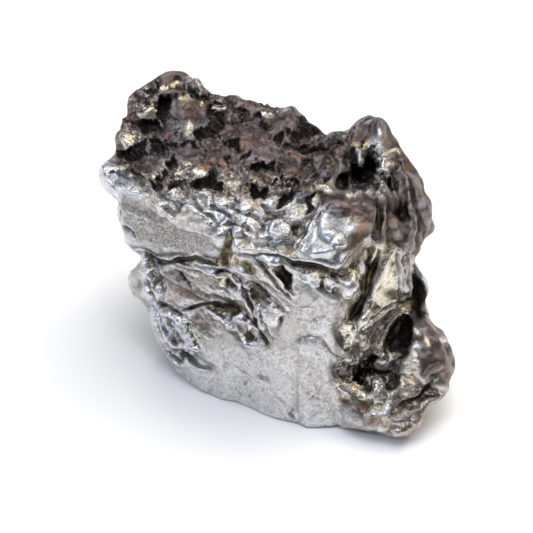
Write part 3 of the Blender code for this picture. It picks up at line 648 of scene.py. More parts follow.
FOLD_OXIDE = [
    ([(164, 270), (184, 270), (204, 290), (202, 302), (180, 300), (166, 286)], 0.55),
    ([(190, 312), (212, 312), (224, 328), (214, 336), (196, 326)], 0.45),
]
FOLD_BRASS = [
    (224, 281, 10, 8, 40), (256, 294, 10, 8, 45), (287, 280, 4, 13, -25), (228, 309, 20, 6, 20),
    (250, 268, 14, 5, 25), (190, 280, 8, 5, 30), (286, 268, 10, 5, 30), (268, 270, 6, 5, 40),
    (240, 262, 12, 4, 10),
]
FOLD_SHADE_LINES = (
    [(213, 274), (221, 268), (231, 271), (238, 281)],
    [(205, 303), (222, 303), (240, 311), (253, 323)],
    [(246, 286), (251, 280), (261, 287), (268, 296)],
    [(279, 263), (286, 272), (292, 288)],
    [(180, 272), (186, 280), (192, 288)],
)
# Streaks of painted highlight along the folds
FOLD_STREAKS = (
    [(262, 257), (276, 273), (290, 291)],
    [(236, 284), (243, 298), (250, 312)],
    [(214, 290), (226, 294), (240, 300)],
    [(268, 300), (274, 308), (276, 318)],
    [(206, 310), (222, 320), (238, 330), (248, 344)],
    [(164, 262), (180, 268), (198, 276)],
)
# Lumps with painted highlights and a painted bluish reflection
FOLD_LUMPS = (
    (238, 318, 6, 4, 20), (228, 326, 6, 4, 10), (252, 330, 3, 8, -15), (248, 344, 8, 3, 10),
    (262, 312, 5, 5, 0), (272, 306, 6, 3, 20), (244, 298, 3, 8, -20), (200, 262, 8, 3, 20),
    (286, 292, 3, 5, 0), (188, 312, 7, 3, 20), (272, 262, 8, 3, 25),
)


def draw_folds():
    each(run, FOLD_RUNS)
    each(dab, FOLD_DABS)
    grain("fold", FOLDS, 15, 0.4, 41, 2, 32, 2.6)
    grain("ridge", FOLDS, 6, 0.12, 46, 2, 34, 4)
    grain("ridge", FOLDS, 2.6, 0.07, 48, 2, 34, 5)
    for loop, amount in FOLD_OXIDE:
        fill("oxide", loop, amount, 3)
    for u, v, half_w, half_h, turn in FOLD_BRASS:
        tint("brass", u, v, half_w, half_h, 1, turn)
    # Painted shade along the creases
    for marks in FOLD_SHADE_LINES:
        tint_run("pit_shade", marks, 1.7, 0.75, 1)
    for marks in FOLD_STREAKS:
        stained(marks, 1.2, 0.25, "shine", 1.8, 1)
    for u, v, half_w, half_h, turn in FOLD_LUMPS:
        lump_with_highlight(u, v, half_w, half_h, 0.25, turn, "cool", 0.9)


# Lumps down the left side with painted blue-white highlights, and the small fold right of them
LEFT_RUNS = [
    ([(146, 256), (150, 272), (156, 290), (160, 304)], 2.6, 0.45),
    ([(154, 262), (160, 280), (164, 298)], 2.2, -0.5),
    ([(142, 262), (146, 280), (150, 296)], 1.8, -0.3),
    ([(158, 306), (162, 322), (170, 338), (180, 350)], 3, 0.5),
    ([(166, 308), (172, 322), (178, 336), (188, 350)], 2, -0.5),
    ([(176, 312), (182, 326), (190, 342), (198, 352)], 2.6, 0.4),
    ([(152, 306), (158, 326), (166, 342)], 2.2, -0.4),
    ([
        (167, 350), (175, 358), (180, 362), (183, 354), (187, 352), (192, 360), (198, 366), (210, 370),
    ], 2, -1),
    ([(168, 356), (178, 365), (190, 366), (198, 371)], 1.8, 0.35),
]
LEFT_KNOBS = [
    (148, 268, 5, 5), (153, 284, 4, 6), (158, 296, 4, 5), (163, 314, 5, 6), (175, 322, 3, 8),
    (170, 336, 5, 5), (183, 344, 5, 4),
]
LEFT_BRASS = (
    (150, 262, 3, 4), (156, 284, 2, 4), (160, 306, 3, 3), (167, 322, 3, 4), (176, 318, 2, 5),
    (184, 334, 2, 4),
)
LEFT_CREASES = (
    [(163, 312), (170, 322), (172, 334), (182, 346)],
    [(154, 300), (164, 306), (172, 308), (182, 312)],
    [(181, 316), (188, 328), (194, 342), (200, 350)],
    [(148, 262), (152, 276), (150, 290), (156, 300)],
)
# Lumps with painted blue-white highlights
LEFT_LUMPS = (
    (161, 320, 3, 8, -20), (168, 334, 3, 7, -25), (178, 330, 3, 9, -25), (176, 344, 5, 3, 20),
    (190, 344, 3, 5, -30), (170, 314, 6, 2.5, 15), (146, 276, 2.5, 7, -15),
)
SMALL_FOLD = [(235, 322), (245, 338), (250, 348)]
SMALL_FOLD_DABS = [(251, 336, 6, 6, -0.5), (240, 316, 6, 4, 0.35), (255, 346, 6, 4, 0.35)]


def draw_chrome_left():
    each(run, LEFT_RUNS)
    for spot in LEFT_KNOBS:
        knob(*spot, 0.3)
    grain("fold", CHROME_LEFT, 12, 0.45, 51, 2, 70, 2)
    grain("fold", CHROME_LEFT, 5.5, 0.14, 53, 2, 70, 1.6)
    for spot in LEFT_BRASS:
        tint("brass", *spot, 0.9)
    run(SMALL_FOLD, 2.4, 0.45)
    each(dab, SMALL_FOLD_DABS)
    for marks in LEFT_CREASES:
        stained(marks, 1.4, -0.45, "brass", 1.8, 0.8)
    for u, v, half_w, half_h, turn in LEFT_LUMPS:
        lump_with_highlight(u, v, half_w, half_h, 0.35, turn, "cool", 1)


# Hammered low face and the worn plates right of it: pits hold depth and turn last
FACE_PITS = [
    (264, 379, 6, 2, 0.35, 30), (245, 384, 2, 2, 0.2, 0), (228, 366, 4, 2, 0.2, 20),
    (263, 390, 1.6, 1.6, 0.2, 0), (292, 412, 2.2, 2.2, 0.4, 0),
]
FACE_RUNS = [
    ([(287, 412), (291, 417), (295, 421)], 1.2, -0.4),
    ([(297, 350), (298, 380), (299, 424)], 1.3, -0.1),
    ([(290, 310), (310, 308), (320, 297)], 1.2, 0.15),
    ([(298, 340), (308, 337), (320, 338), (326, 345), (332, 352), (340, 357)], 1.1, -0.3),
]
FACE_EDGE = [
    (322, 287), (335, 295), (341, 302), (344, 312), (340, 325), (337, 340), (345, 352), (337, 361),
    (334, 372), (337, 385), (341, 396), (348, 406), (358, 414), (368, 423),
]
FACE_CRACKS = (
    [(222, 352), (226, 362), (223, 372)],
    [(236, 366), (243, 374), (252, 375)],
    [(256, 374), (264, 379), (270, 381)],
    [(262, 330), (256, 342), (262, 350)],
    [(312, 390), (322, 385), (334, 380)],
    [(306, 404), (316, 398), (328, 402)],
    [(276, 396), (284, 404), (288, 412)],
    [(240, 392), (250, 396), (256, 404)],
    [(208, 362), (214, 372), (212, 380)],
    [(302, 318), (312, 322), (324, 318), (334, 324)],
    [(304, 360), (312, 366), (322, 364)],
)


def draw_low_face():
    # Pits with painted shade inside
    for u, v, half_w, half_h, depth, turn in FACE_PITS:
        dab(u, v, half_w, half_h, -depth, turn)
        tint("pit_shade", u, v, half_w, half_h, 0.5, turn)
    each(run, FACE_RUNS)
    pits(LOW_FACE, 160, 0.9, 0.08, 61)
    pits(PLATES, 120, 0.9, 0.08, 62)
    edge(FACE_EDGE, 4, -0.45)
    # Cracks darkened with painted shade
    for marks in FACE_CRACKS:
        stained(marks, 0.8, -0.14, "dim", 1, 1, 1)
    grain("wave", LOW_FACE, 22, 0.1, 65, 3)
    grain("wave", PLATES, 16, 0.1, 66, 3)


# Hollow below the block, with broken plates and a rim that carry painted highlights
HOLLOW_RIM = [(300, 278), (312, 283), (318, 291), (330, 299), (340, 303)]
HOLLOW_DABS = (
    (325, 285, 10, 7, -0.5, 15), (343, 312, 6, 6, 0.5), (336, 330, 5, 7, -0.4),
    (344, 351, 6, 4, 0.45), (335, 372, 4, 9, -0.35), (340, 322, 3, 3, 0.3),
)
HOLLOW_LUMPS = ((364, 338, 4, 5, 0.5), (366, 346, 8, 5, 0.35, 20))
HOLLOW_PLATES = (
    ([
        (334, 282), (341, 272), (350, 267), (358, 273), (356, 286), (350, 297), (342, 298), (337, 290),
    ], 0.01, 0.02, 0.1),
    ([(358, 322), (362, 312), (370, 310), (373, 318), (368, 326), (360, 328)], 0.01, 0.02, 0.4),
    ([(341, 330), (347, 321), (355, 322), (357, 334), (352, 346), (344, 346)], 0.01, 0.01, 1),
    ([(304, 274), (314, 270), (322, 276), (320, 286), (312, 284)], 0, 0.02, 0.3),
    ([(323, 276), (332, 272), (336, 282), (332, 292), (326, 286)], 0, 0.02, 0.2),
)
HOLLOW_PATCH = [(338, 322), (358, 320), (360, 348), (342, 350)]
HOLLOW_GROOVE = [(370, 288), (365, 300), (358, 311), (350, 320)]
HOLLOW_BRASS = [(318, 274, 20, 5), (325, 285, 6, 4), (352, 262, 8, 6)]


def draw_under_block():
    run(HOLLOW_RIM, 2, 0.45)
    each(dab, HOLLOW_DABS)
    # Plates with painted highlights
    for loop, lean_u, lean_v, gold in HOLLOW_PLATES:
        plate(loop, 0.45, (lean_u, lean_v))
        polish_with_highlight(loop, gold)
    # Rim with a painted highlight and a painted bluish reflection
    tint_run("shine", HOLLOW_RIM, 3, 1)
    tint_run("cool", HOLLOW_RIM, 3, 0.9)
    grain("ridge", HOLLOW_PATCH, 6, 0.2, 78, 2)
    run(HOLLOW_GROOVE, 2.2, -0.9)
    each(dab, HOLLOW_LUMPS)
    for spot in HOLLOW_BRASS:
        tint("brass", *spot, 0.9)
    grain("fold", RIGHT_MID, 16, 0.25, 71, 2, 110, 2)
    grain("wave", RIGHT_MID, 6, 0.08, 73, 2, 110, 2)


# Right face: upright column, gold triangle beside it and ribbed fan below
MID_RUNS = [
    ([(393, 252), (396, 275), (396, 300)], 1.8, 0.45),
    ([(393, 252), (382, 275), (372, 298)], 1.8, 0.4),
    ([(380, 250), (372, 275), (366, 292)], 2.6, -0.8),
    ([(397, 243), (399, 270), (398, 300)], 1.5, -0.5),
    ([(411, 250), (411, 280), (409, 298)], 1.6, 0.3),
    ([(363, 328), (375, 318), (390, 305), (409, 300)], 1.7, -0.7),
    ([(410, 262), (414, 290), (420, 318)], 3.5, -0.8),
    ([(378, 198), (381, 220), (374, 246), (367, 262)], 2.4, -0.6),
    ([(388, 198), (392, 222), (388, 240)], 1.6, -0.35),
    ([(384, 198), (387, 220), (381, 244)], 1.8, 0.3),
]
FAN_RIBS = 6
FAN_FOOT = (362, 352)
FAN_TOP = (398, 306)
COLUMN_GROOVE = [(402, 246), (404, 268), (403, 296)]
MID_BRASS_LOOP = [
    (352, 262), (372, 240), (390, 248), (380, 275), (368, 298), (352, 314), (346, 302), (356, 284),
]
BLOCK_FOOT_LOOP = [(298, 262), (320, 266), (340, 274), (340, 282), (320, 276), (300, 272)]
RECESS = [(412, 262), (422, 268), (427, 300), (424, 320), (410, 322), (412, 290)]


def draw_right_mid():
    each(run, MID_RUNS)
    for k in range(FAN_RIBS):
        u = FAN_FOOT[0] + 8 * k
        v = FAN_FOOT[1] - 5 * k
        top = (FAN_TOP[0] + 1.5 * k, FAN_TOP[1] + k)
        run([(u, v), (u + 10, v - 16), top], 1.1, -0.28)
    plate(TRIANGLE, 0.35, (0, 0.01), 1.6, 0.6)
    grain("wave", TRIANGLE, 5, 0.12, 75, 3, 100, 1.5)
    # Painted highlight over the gold triangle
    polish_with_highlight(TRIANGLE, 1, 2)
    plate(COLUMN, 0.3, (0, 0), 1.6, 0.6)
    run(COLUMN_GROOVE, 1, -0.2)
    fill("oxide", COLUMN, 0.45, 2)
    # Painted bluish reflection down the column
    fill("cool", COLUMN, 0.8, 2)
    fill("oxide", FAN, 0.45, 3)
    grain("ridge", FAN, 2.6, 0.16, 77, 2, 131, 7)
    fill("brass", MID_BRASS_LOOP, 0.55, 4, 1.5)
    fill("brass", BLOCK_FOOT_LOOP, 0.6, 3, 1.5)
    # Painted shade in the recess
    fill("pit_shade", RECESS, 0.8, 3)


# Dark right flank with long veins
FLANK_RUNS = [
    ([(396, 160), (404, 176), (410, 200), (417, 215), (417, 228), (408, 255)], 2, 0.45),
    ([(400, 162), (408, 178), (414, 200), (421, 215), (421, 230), (413, 252)], 1.6, -0.4),
    ([(418, 186), (424, 203), (428, 215), (426, 232)], 1.8, 0.35),
]
FLANK_DENT = (404, 212, 4, 7, -0.7)
FLANK_VEINS = (
    [(400, 152), (404, 168), (406, 186), (412, 200)],
    [(404, 196), (412, 206), (414, 222), (408, 238)],
    [(422, 190), (429, 206), (430, 222), (424, 238)],
    [(388, 168), (394, 178), (396, 196), (400, 210)],
)


def draw_flank():
    each(run, FLANK_RUNS)
    dab(*FLANK_DENT)
    grain("fold", FLANK, 18, 0.5, 83, 2, 65, 1.6)
    grain("wave", FLANK, 6, 0.12, 81, 2, 70, 3)
    fill("oxide", FLANK, 0.85, 5)
    for marks in FLANK_VEINS:
        run(marks, 1.3, 0.35)


# Dish: dark flaking floor with torn pits and cracks in painted shade, raised plates and painted highlights
# on tipped facets
DISH_PITS = [
    [(159, 94), (170, 92), (171, 108), (170, 118), (163, 120), (158, 112), (160, 104)],
    [(136, 120), (142, 117), (158, 118), (160, 128), (150, 129), (138, 130)],
    [
        (118, 153), (122, 150), (130, 148), (141, 140), (146, 139), (147, 150), (154, 154), (144, 158),
        (132, 161), (120, 158),
    ],
    [(150, 140), (156, 137), (164, 137), (160, 141), (152, 142)],
    [(160, 141), (172, 142), (185, 141), (197, 143), (200, 146), (190, 145), (176, 147), (163, 146)],
    [
        (197, 132), (206, 124), (208, 112), (212, 103), (216, 104), (217, 112), (222, 120), (228, 124),
        (222, 132), (210, 136), (200, 140),
    ],
    [(168, 156), (174, 155), (176, 160), (172, 168), (168, 166)],
    [(158, 176), (164, 170), (168, 172), (164, 178), (158, 180)],
    [(153, 183), (160, 182), (165, 180), (166, 184), (160, 190), (154, 188)],
    [(171, 183), (178, 180), (183, 182), (180, 188), (173, 192), (170, 188)],
    [(190, 186), (196, 180), (206, 178), (210, 172), (212, 178), (206, 185), (196, 188)],
    [(220, 158), (228, 155), (231, 158), (224, 160)],
    [(228, 140), (237, 138), (238, 150), (230, 150), (222, 143)],
    [(240, 151), (246, 150), (252, 153), (248, 156), (241, 155)],
    [
        (250, 165), (258, 163), (262, 160), (268, 162), (276, 162), (277, 168), (268, 167), (258, 169),
        (251, 168),
    ],
    [(246, 184), (251, 187), (258, 192), (267, 190), (268, 194), (262, 198), (251, 199), (247, 192)],
    [(270, 181), (278, 179), (276, 183), (271, 184)],
    [(279, 186), (292, 185), (299, 186), (292, 189), (280, 189)],
    [(280, 198), (290, 196), (298, 190), (301, 192), (292, 201), (282, 207), (278, 206)],
    [(281, 172), (284, 176), (290, 180), (300, 179), (300, 183), (288, 182), (280, 177)],
    [(310, 174), (318, 172), (318, 178), (311, 178)],
    [(272, 134), (280, 134), (284, 142), (280, 146), (274, 138)],
    [(254, 113), (262, 111), (266, 115), (256, 117)],
    [(262, 121), (267, 125), (268, 131), (261, 128)],
    [(240, 108), (246, 109), (243, 112)],
    [(146, 90), (152, 86), (156, 80), (158, 82), (154, 90), (147, 93)],
    [(182, 88), (190, 91), (196, 93), (190, 94), (184, 92)],
]
DISH_HOLLOWS = [
    [
        (300, 114), (308, 120), (318, 128), (324, 134), (312, 137), (296, 140), (286, 138), (284, 130),
        (298, 132), (302, 124),
    ],
    [(300, 164), (304, 158), (318, 160), (312, 167), (304, 168)],
    [(224, 118), (236, 121), (250, 121), (260, 124), (250, 124), (236, 124), (226, 124)],
    [(286, 142), (300, 146), (320, 148), (340, 142), (344, 146), (330, 151), (300, 152), (286, 148)],
]
# Loop, rise and lean of each plate
DISH_PLATES = [
    ([
        (158, 74), (170, 70), (184, 68), (193, 74), (199, 88), (188, 84), (176, 79), (162, 82),
    ], 0.4, (0, 0.01)),
    ([
        (171, 100), (190, 98), (204, 100), (210, 104), (206, 116), (203, 128), (196, 132), (184, 126),
        (174, 118), (172, 108),
    ], 0.45, (0.004, 0.01)),
    ([(183, 125), (194, 126), (198, 134), (194, 140), (186, 139), (181, 131)], 0.35, (0, 0.02)),
    ([(138, 119), (142, 108), (156, 105), (160, 111), (157, 117), (148, 118)], 0.5, (-0.02, 0.02)),
    ([(174, 152), (196, 146), (201, 152), (197, 160), (180, 162)], 0.3, (0, 0.015)),
    ([(204, 150), (214, 147), (220, 150), (218, 157), (206, 158)], 0.3, (0, 0.02)),
    ([(134, 166), (150, 160), (168, 163), (160, 169), (148, 174), (138, 171)], 0.3, (0, 0.02)),
    ([
        (228, 126), (248, 122), (262, 128), (274, 140), (284, 156), (278, 161), (262, 160), (250, 156),
        (243, 144), (232, 137),
    ], 0.4, (0.005, 0)),
    ([
        (225, 158), (236, 160), (250, 174), (262, 180), (270, 187), (262, 189), (248, 184), (238, 172),
    ], 0.35, (0, 0.02)),
    ([(258, 171), (272, 169), (280, 174), (274, 179), (262, 178)], 0.25, (0, 0.02)),
    ([(283, 160), (296, 160), (300, 168), (292, 172), (282, 169)], 0.25, (0, 0.01)),
    ([(318, 183), (330, 182), (334, 190), (322, 191)], 0.35, (0, 0.03)),
    ([(266, 112), (284, 110), (300, 118), (298, 128), (282, 131), (270, 124)], 0.35, (0, 0.015)),
    ([(222, 92), (236, 94), (252, 100), (262, 106), (256, 112), (240, 108), (226, 102)], 0.3, (0, 0.01)),
    ([(214, 172), (228, 170), (242, 176), (242, 184), (228, 184), (216, 180)], 0.3, (0, 0.02)),
    ([(178, 168), (192, 166), (208, 170), (206, 177), (192, 180), (180, 177)], 0.35, (0, 0.03)),
    ([(304, 146), (322, 138), (340, 138), (330, 146), (312, 150)], 0.25, (0, 0.01)),
]
# Painted highlights on tipped facets: mark, half width and height, gold share
TOP_GLINTS = [
    (146, 88, 4, 2.5, 0.8), (177, 85, 6, 2.5, 0.9), (187, 86, 4, 2, 0.8), (149, 112, 12, 7, 1),
    (127, 139, 7, 10, 1), (140, 136, 5, 2, 0.6), (164, 166, 4, 2.5, 0.8), (200, 173, 8, 4, 0.8),
    (165, 86, 6, 2.5, 1), (190, 130, 4, 7, 1), (201, 103, 3, 3, 1), (240, 166, 3, 2, 0.9),
    (257, 181, 4, 2.5, 0.9), (180, 192, 8, 3, 0.8), (138, 112, 4, 3, 0.6), (186, 164, 4, 2, 0.8),
    (156, 175, 4, 3, 1), (220, 108, 7, 3, 0.5), (284, 110, 8, 2, 0.2), (231, 185, 9, 4, 0.5),
    (206, 193, 5, 3, 0.4), (326, 187, 7, 3.5, 0.3), (176, 172, 5, 3, 0.8), (122, 165, 6, 3, 0.8),
    (352, 186, 3, 4, 0.2), (187, 99, 5, 3, 0.5), (268, 114, 6, 2.5, 0.4), (370, 122, 5, 2.5, 0.2),
    (381, 133, 4, 3, 0.1), (395, 152, 7, 3, 0.8), (387, 163, 5, 5, 0.4),
]
RUST_SPOTS = [
    (205, 165, 6, 4), (220, 167, 7, 3), (211, 160, 4, 3), (242, 145, 5, 4), (168, 133, 5, 3),
    (166, 92, 3, 4), (292, 152, 5, 3), (345, 152, 4, 3), (300, 158, 6, 3), (188, 192, 4, 3),
]
DISH_RIDGE = [(226, 153), (240, 165), (252, 176), (264, 187)]
RIDGE_LOOP = [(224, 150), (230, 152), (268, 184), (262, 190), (244, 176)]
DISH_VEINS = [
    ([(300, 150), (316, 146), (336, 134)], 1.6),
    ([(302, 168), (320, 162), (338, 158)], 1.4),
    ([(286, 184), (304, 180), (326, 172), (338, 164)], 1.6),
    ([(140, 160), (152, 156), (166, 152)], 1.3),
    ([(132, 168), (146, 172), (150, 178)], 1.4),
]
DISH_FRONT = [
    (122, 172), (150, 164), (200, 158), (245, 164), (300, 174), (338, 178), (336, 194), (300, 200),
    (240, 199), (190, 198), (150, 192), (130, 184),
]
DISH_BACK = [(196, 88), (232, 90), (262, 98), (292, 104), (296, 116), (262, 110), (226, 104), (200, 104)]
DISH_LEFT = [
    (118, 150), (116, 130), (124, 104), (140, 84), (160, 76), (164, 92), (150, 104), (146, 128),
    (136, 150),
]
STRUT_NOTCH = [(307, 214), (307, 202), (310, 195), (318, 193), (314, 201), (310, 210)]


def draw_dish_floor():
    fill("oxide", DISH, 1)
    grain("fold", DISH, 26, 0.6, 91, 2, 15, 1.4)
    flakes(DISH, 22, 0.32, 2, 92, 12, 1.4, 1, -1.7, 0.6)
    flakes(DISH, 10, 0.12, 1.3, 94, 20, 1.6, 0.55)
    grain("wave", DISH, 4.5, 0.06, 97, 2, 10, 1.5)
    for loop, rise, lean in DISH_PLATES:
        plate(loop, rise, lean)
        clear("pit_shade", loop, 0.85, 1.5)
        part, mask = loop_mask(loop, 2)
        RISE[part] += mask * 0.1 * layers2(UU[part] / 6.0, VV[part] / 6.0, 99, 3)
    # Pits and hollows with painted shade inside
    for loop in DISH_PITS:
        pit(loop, 0.9)
    for loop in DISH_HOLLOWS:
        pit(loop, 0.7, 0.8, 2)
    run(DISH_RIDGE, 2.2, 0.3)
    clear("pit_shade", RIDGE_LOOP, 0.8, 2)
    tint_run("brass", DISH_RIDGE, 3.4, 1)
    for marks, half_w in DISH_VEINS:
        run(marks, half_w, 0.3)


def draw_dish():
    draw_dish_floor()
    # Tipped facets with painted highlights, clear of painted shade
    for u, v, half_w, half_h, gold in TOP_GLINTS:
        facet(u, v, half_w, half_h, 0.35, -0.04)
        tint("shine", u, v, half_w * 1.2, half_h * 1.2, 1)
        tint("warm", u, v, half_w * 1.5, half_h * 1.5, gold)
        part = dab_window(u, v, half_w, half_h)
        PAINT["pit_shade"][part] *= 1.0 - dab_shape(part, u, v, half_w, half_h, 0.0, 1.0, 2.0)
    for spot in RUST_SPOTS:
        tint("rust", *spot, 0.9)
    # Burnished bands with some painted highlight over the front, back and left of the dish
    fill("shine", DISH_FRONT, 0.36, 7, 2)
    fill("warm", DISH_FRONT, 0.45, 7, 2)
    fill("shine", DISH_BACK, 0.3, 4, 2)
    fill("shine", DISH_LEFT, 0.36, 5, 2)
    pit(STRUT_NOTCH, 0.7)


# Cave below the right-hand peak, filled with painted shade, and the peak itself
CAVE = [(342, 162), (346, 148), (376, 146), (380, 160), (382, 178), (378, 192), (348, 192), (340, 178)]
CAVE_FLOOR = [(340, 146), (380, 146), (384, 194), (340, 194)]
CAVE_WALL = [(374, 150), (402, 154), (404, 188), (380, 192)]
CAVE_BAR = [(361, 147), (360, 157), (362, 168)]
BAR_LOOP = [(356, 146), (365, 146), (366, 168), (358, 169)]
CAVE_PIT = [(383, 174), (389, 177), (396, 188), (392, 191), (385, 185)]
PEAK_GULLY = [(374, 122), (368, 134), (362, 146)]
GULLY_FLOOR = [(371, 124), (366, 134), (361, 148)]


def draw_cave():
    # Painted shade in the cave
    fill("pit_shade", CAVE, 0.8, 3)
    grain("fold", CAVE_FLOOR, 7, 0.16, 96, 3)
    grain("fold", CAVE_WALL, 5, 0.25, 97, 3)
    run(CAVE_BAR, 2.6, 0.6)
    clear("pit_shade", BAR_LOOP, 0.8, 2)
    pit(CAVE_PIT, 0.6)
    grain("wave", PEAK, 9, 0.12, 98, 3)
    fill("oxide", PEAK, 0.75, 5)
    tint_run("brass", PEAK_GULLY, 4, 0.8)
    # Painted shade down the gully floor
    tint_run("pit_shade", GULLY_FLOOR, 2.2, 0.7)


# Lobe at the lower right, with a deep hollow in painted shade, broken plates with painted highlights and a
# dark dome
LOBE_RUNS = [
    ([(405, 400), (413, 396), (417, 386), (425, 376), (440, 366)], 1.8, 0.45),
    ([(400, 406), (412, 402), (422, 390), (432, 380), (446, 370)], 1.8, -0.45),
]
LOBE_LUMP = (378, 386, 6, 8, 0.3)
LOBE_FLOOR = [(336, 356), (372, 350), (398, 356), (404, 384), (376, 392), (340, 386)]
# Loop, rise and lean of each plate that carries a painted highlight
LOBE_PLATES = (
    ([(396, 351), (408, 347), (419, 359), (418, 371), (407, 369), (398, 361)], 0.5, -0.03, 0.01),
    ([(402, 373), (410, 371), (415, 378), (412, 388), (403, 386)], 0.45, -0.02, 0.02),
    ([(335, 380), (345, 381), (357, 388), (355, 394), (342, 391)], 0.4, 0, 0.03),
    ([(354, 388), (366, 389), (374, 396), (363, 400), (355, 396)], 0.4, 0, 0.03),
    ([(374, 396), (382, 395), (385, 402), (377, 404)], 0.4, 0, 0.03),
)
LOBE_BOULDER = [(376, 358), (386, 352), (398, 355), (400, 364), (392, 370), (380, 369)]
LOBE_BRASS = (
    (426, 336, 6, 4), (434, 372, 5, 3), (396, 398, 6, 3), (420, 394, 5, 4), (350, 402, 4, 3),
    (398, 416, 7, 3),
)
DOME_RUN = [(424, 334), (436, 340), (444, 352), (444, 366)]
UPPER_HOLE = [(400, 318), (412, 314), (416, 330), (408, 344), (398, 354), (386, 352), (394, 340)]
LOWER_HOLE = [
    (372, 366), (380, 371), (396, 370), (400, 378), (390, 381), (372, 378), (360, 382), (356, 374),
    (364, 366),
]
LOBE_OXIDE = [
    ([(380, 392), (404, 382), (440, 384), (430, 409), (402, 408)], 0.7),
    ([(396, 400), (436, 390), (450, 386), (442, 410), (420, 434), (396, 438), (384, 430)], 0.7),
    ([(338, 396), (366, 396), (380, 430), (352, 431), (338, 412)], 0.6),
]


def draw_lobe():
    grain("fold", FOOT_LOBE, 22, 0.5, 111, 2)
    grain("fold", FOOT_LOBE, 9, 0.1, 113, 2)
    each(run, LOBE_RUNS)
    dab(*LOBE_LUMP)
    flakes(LOBE_FLOOR, 9, 0.35, 1.6, 117, 20, 1.3, 0.6)
    grain("ridge", LOBE_FLOOR, 5, 0.14, 119, 2, 0, 1)
    # Plates with painted highlights
    for loop, rise, lean_u, lean_v in LOBE_PLATES:
        plate(loop, rise, (lean_u, lean_v))
        clear("pit_shade", loop, 1, 1.5)
        polish_with_highlight(loop, 0.8)
    plate(LOBE_BOULDER, 0.4, (0, 0.02))
    for spot in LOBE_BRASS:
        tint("brass", *spot, 0.9)
    run(DOME_RUN, 2, 0.25)
    # Painted shade in the upper and lower holes
    fill("pit_shade", UPPER_HOLE, 0.8, 3, 1.5)
    fill("pit_shade", LOWER_HOLE, 0.75, 2, 1.5)
    for loop, amount in LOBE_OXIDE:
        fill("oxide", loop, amount)
    fill("oxide", LOBE_DOME, 1, 3)
    fill("dim", LOBE_DOME, 0.8)


# Small painted highlights on tipped facets of the front: mark, half width and height, gold share
SIDE_GLINTS = [
    (220, 234, 6, 9, 0.3), (246, 207, 7, 6, 0.4), (222, 201, 7, 5, 0.4), (330, 231, 6, 4, 0),
    (340, 240, 6, 6, 0.1), (150, 270, 3, 8, 0), (156, 290, 3, 7, 0.3), (162, 316, 3, 8, 0),
    (175, 325, 3, 9, 0.1), (183, 344, 4, 4, 0.5), (240, 316, 6, 4, 0.3), (255, 346, 6, 4, 0.1),
    (222, 283, 5, 5, 1), (272, 317, 8, 9, 0.1), (238, 228, 5, 5, 0.3), (251, 233, 5, 5, 0.1),
    (280, 229, 8, 7, 0.1), (430, 347, 4, 8, 0.4),
]


def draw_side_glints():
    for u, v, half_w, half_h, gold in SIDE_GLINTS:
        facet(u, v, half_w, half_h, 0.3, 0.035)
        painted_glint(u, v, half_w, half_h, gold)


# Tones laid over whole regions: finish, loop, amount and softness; among them painted highlights, a
# painted bluish reflection and painted shade on the brow
BLOCK_FRONT = [(316, 214), (334, 214), (350, 219), (346, 240), (342, 262), (312, 259), (298, 252)]
CORNER_REFLECTION = [
    (98, 172), (106, 160), (122, 172), (140, 188), (150, 198), (136, 198), (116, 190), (104, 186),
]
BROW_SHADE = [(185, 225), (212, 237), (226, 252), (222, 262), (195, 258), (180, 246)]
BLOCK_GOLD = [(350, 212), (376, 205), (374, 240), (345, 262), (340, 252), (352, 232)]
SUMMIT = [(118, 110), (150, 78), (190, 78), (196, 96), (160, 125), (130, 160), (116, 150)]
BLOCK_REFLECTION = [(318, 222), (338, 218), (348, 232), (344, 250), (318, 256), (306, 250)]
BEVEL_REFLECTION = [(190, 202), (218, 205), (232, 210), (236, 232), (224, 240), (208, 226), (196, 220)]
RING_REFLECTION = [(256, 210), (300, 216), (292, 246), (262, 246)]
# Burnished regions, a finish that also carries painted highlights
POLISH_HIGHLIGHT_FILLS = [
    ("shine", BEVEL, 0.5), ("shine", CHROME_LEFT, 0.8), ("shine", LOW_FACE, 0.6, 9),
    ("shine", PLATES, 0.5), ("shine", BLOCK_FRONT, 0.9, 3), ("shine", RIGHT_MID, 0.4),
    ("shine", FOOT_LOBE, 0.4), ("shine", FOLDS, 0.2),
]
TONES = [
    ("calm", BROW, 1, 3), ("calm", LOW_FACE, 1, 3), ("calm", PLATES, 1, 3),
    ("dim", BEVEL, 0.5), ("dim", BROW, 0.9, 3), ("dim", PLATES, 0.3, 3), ("dim", LOW_FACE, 0.12, 6),
    ("dim", BLOCK, 0.7), ("dim", RIGHT_MID, 0.35), ("dim", FLANK, 0.6), ("dim", PEAK, 0.5),
    ("dim", FOOT_LOBE, 0.45), ("dim", FOLDS, 0.6), ("dim", BROW_SHADE, 0.8, 6),
    ("warm", FOLDS, 0.2, 5), ("warm", RIGHT_MID, 0.8, 5), ("warm", FLANK, 0.8, 5),
    ("warm", FOOT_LOBE, 0.85, 5), ("warm", BLOCK_GOLD, 0.9), ("warm", SUMMIT, 0.7, 6),
    ("warm", BEVEL, 0.3, 5),
    ("cool", CHROME_LEFT, 0.9), ("cool", CORNER_REFLECTION, 0.9, 3), ("cool", BLOCK_REFLECTION, 0.9),
    ("cool", BEVEL_REFLECTION, 0.9), ("cool", RING_REFLECTION, 0.7, 5),
]
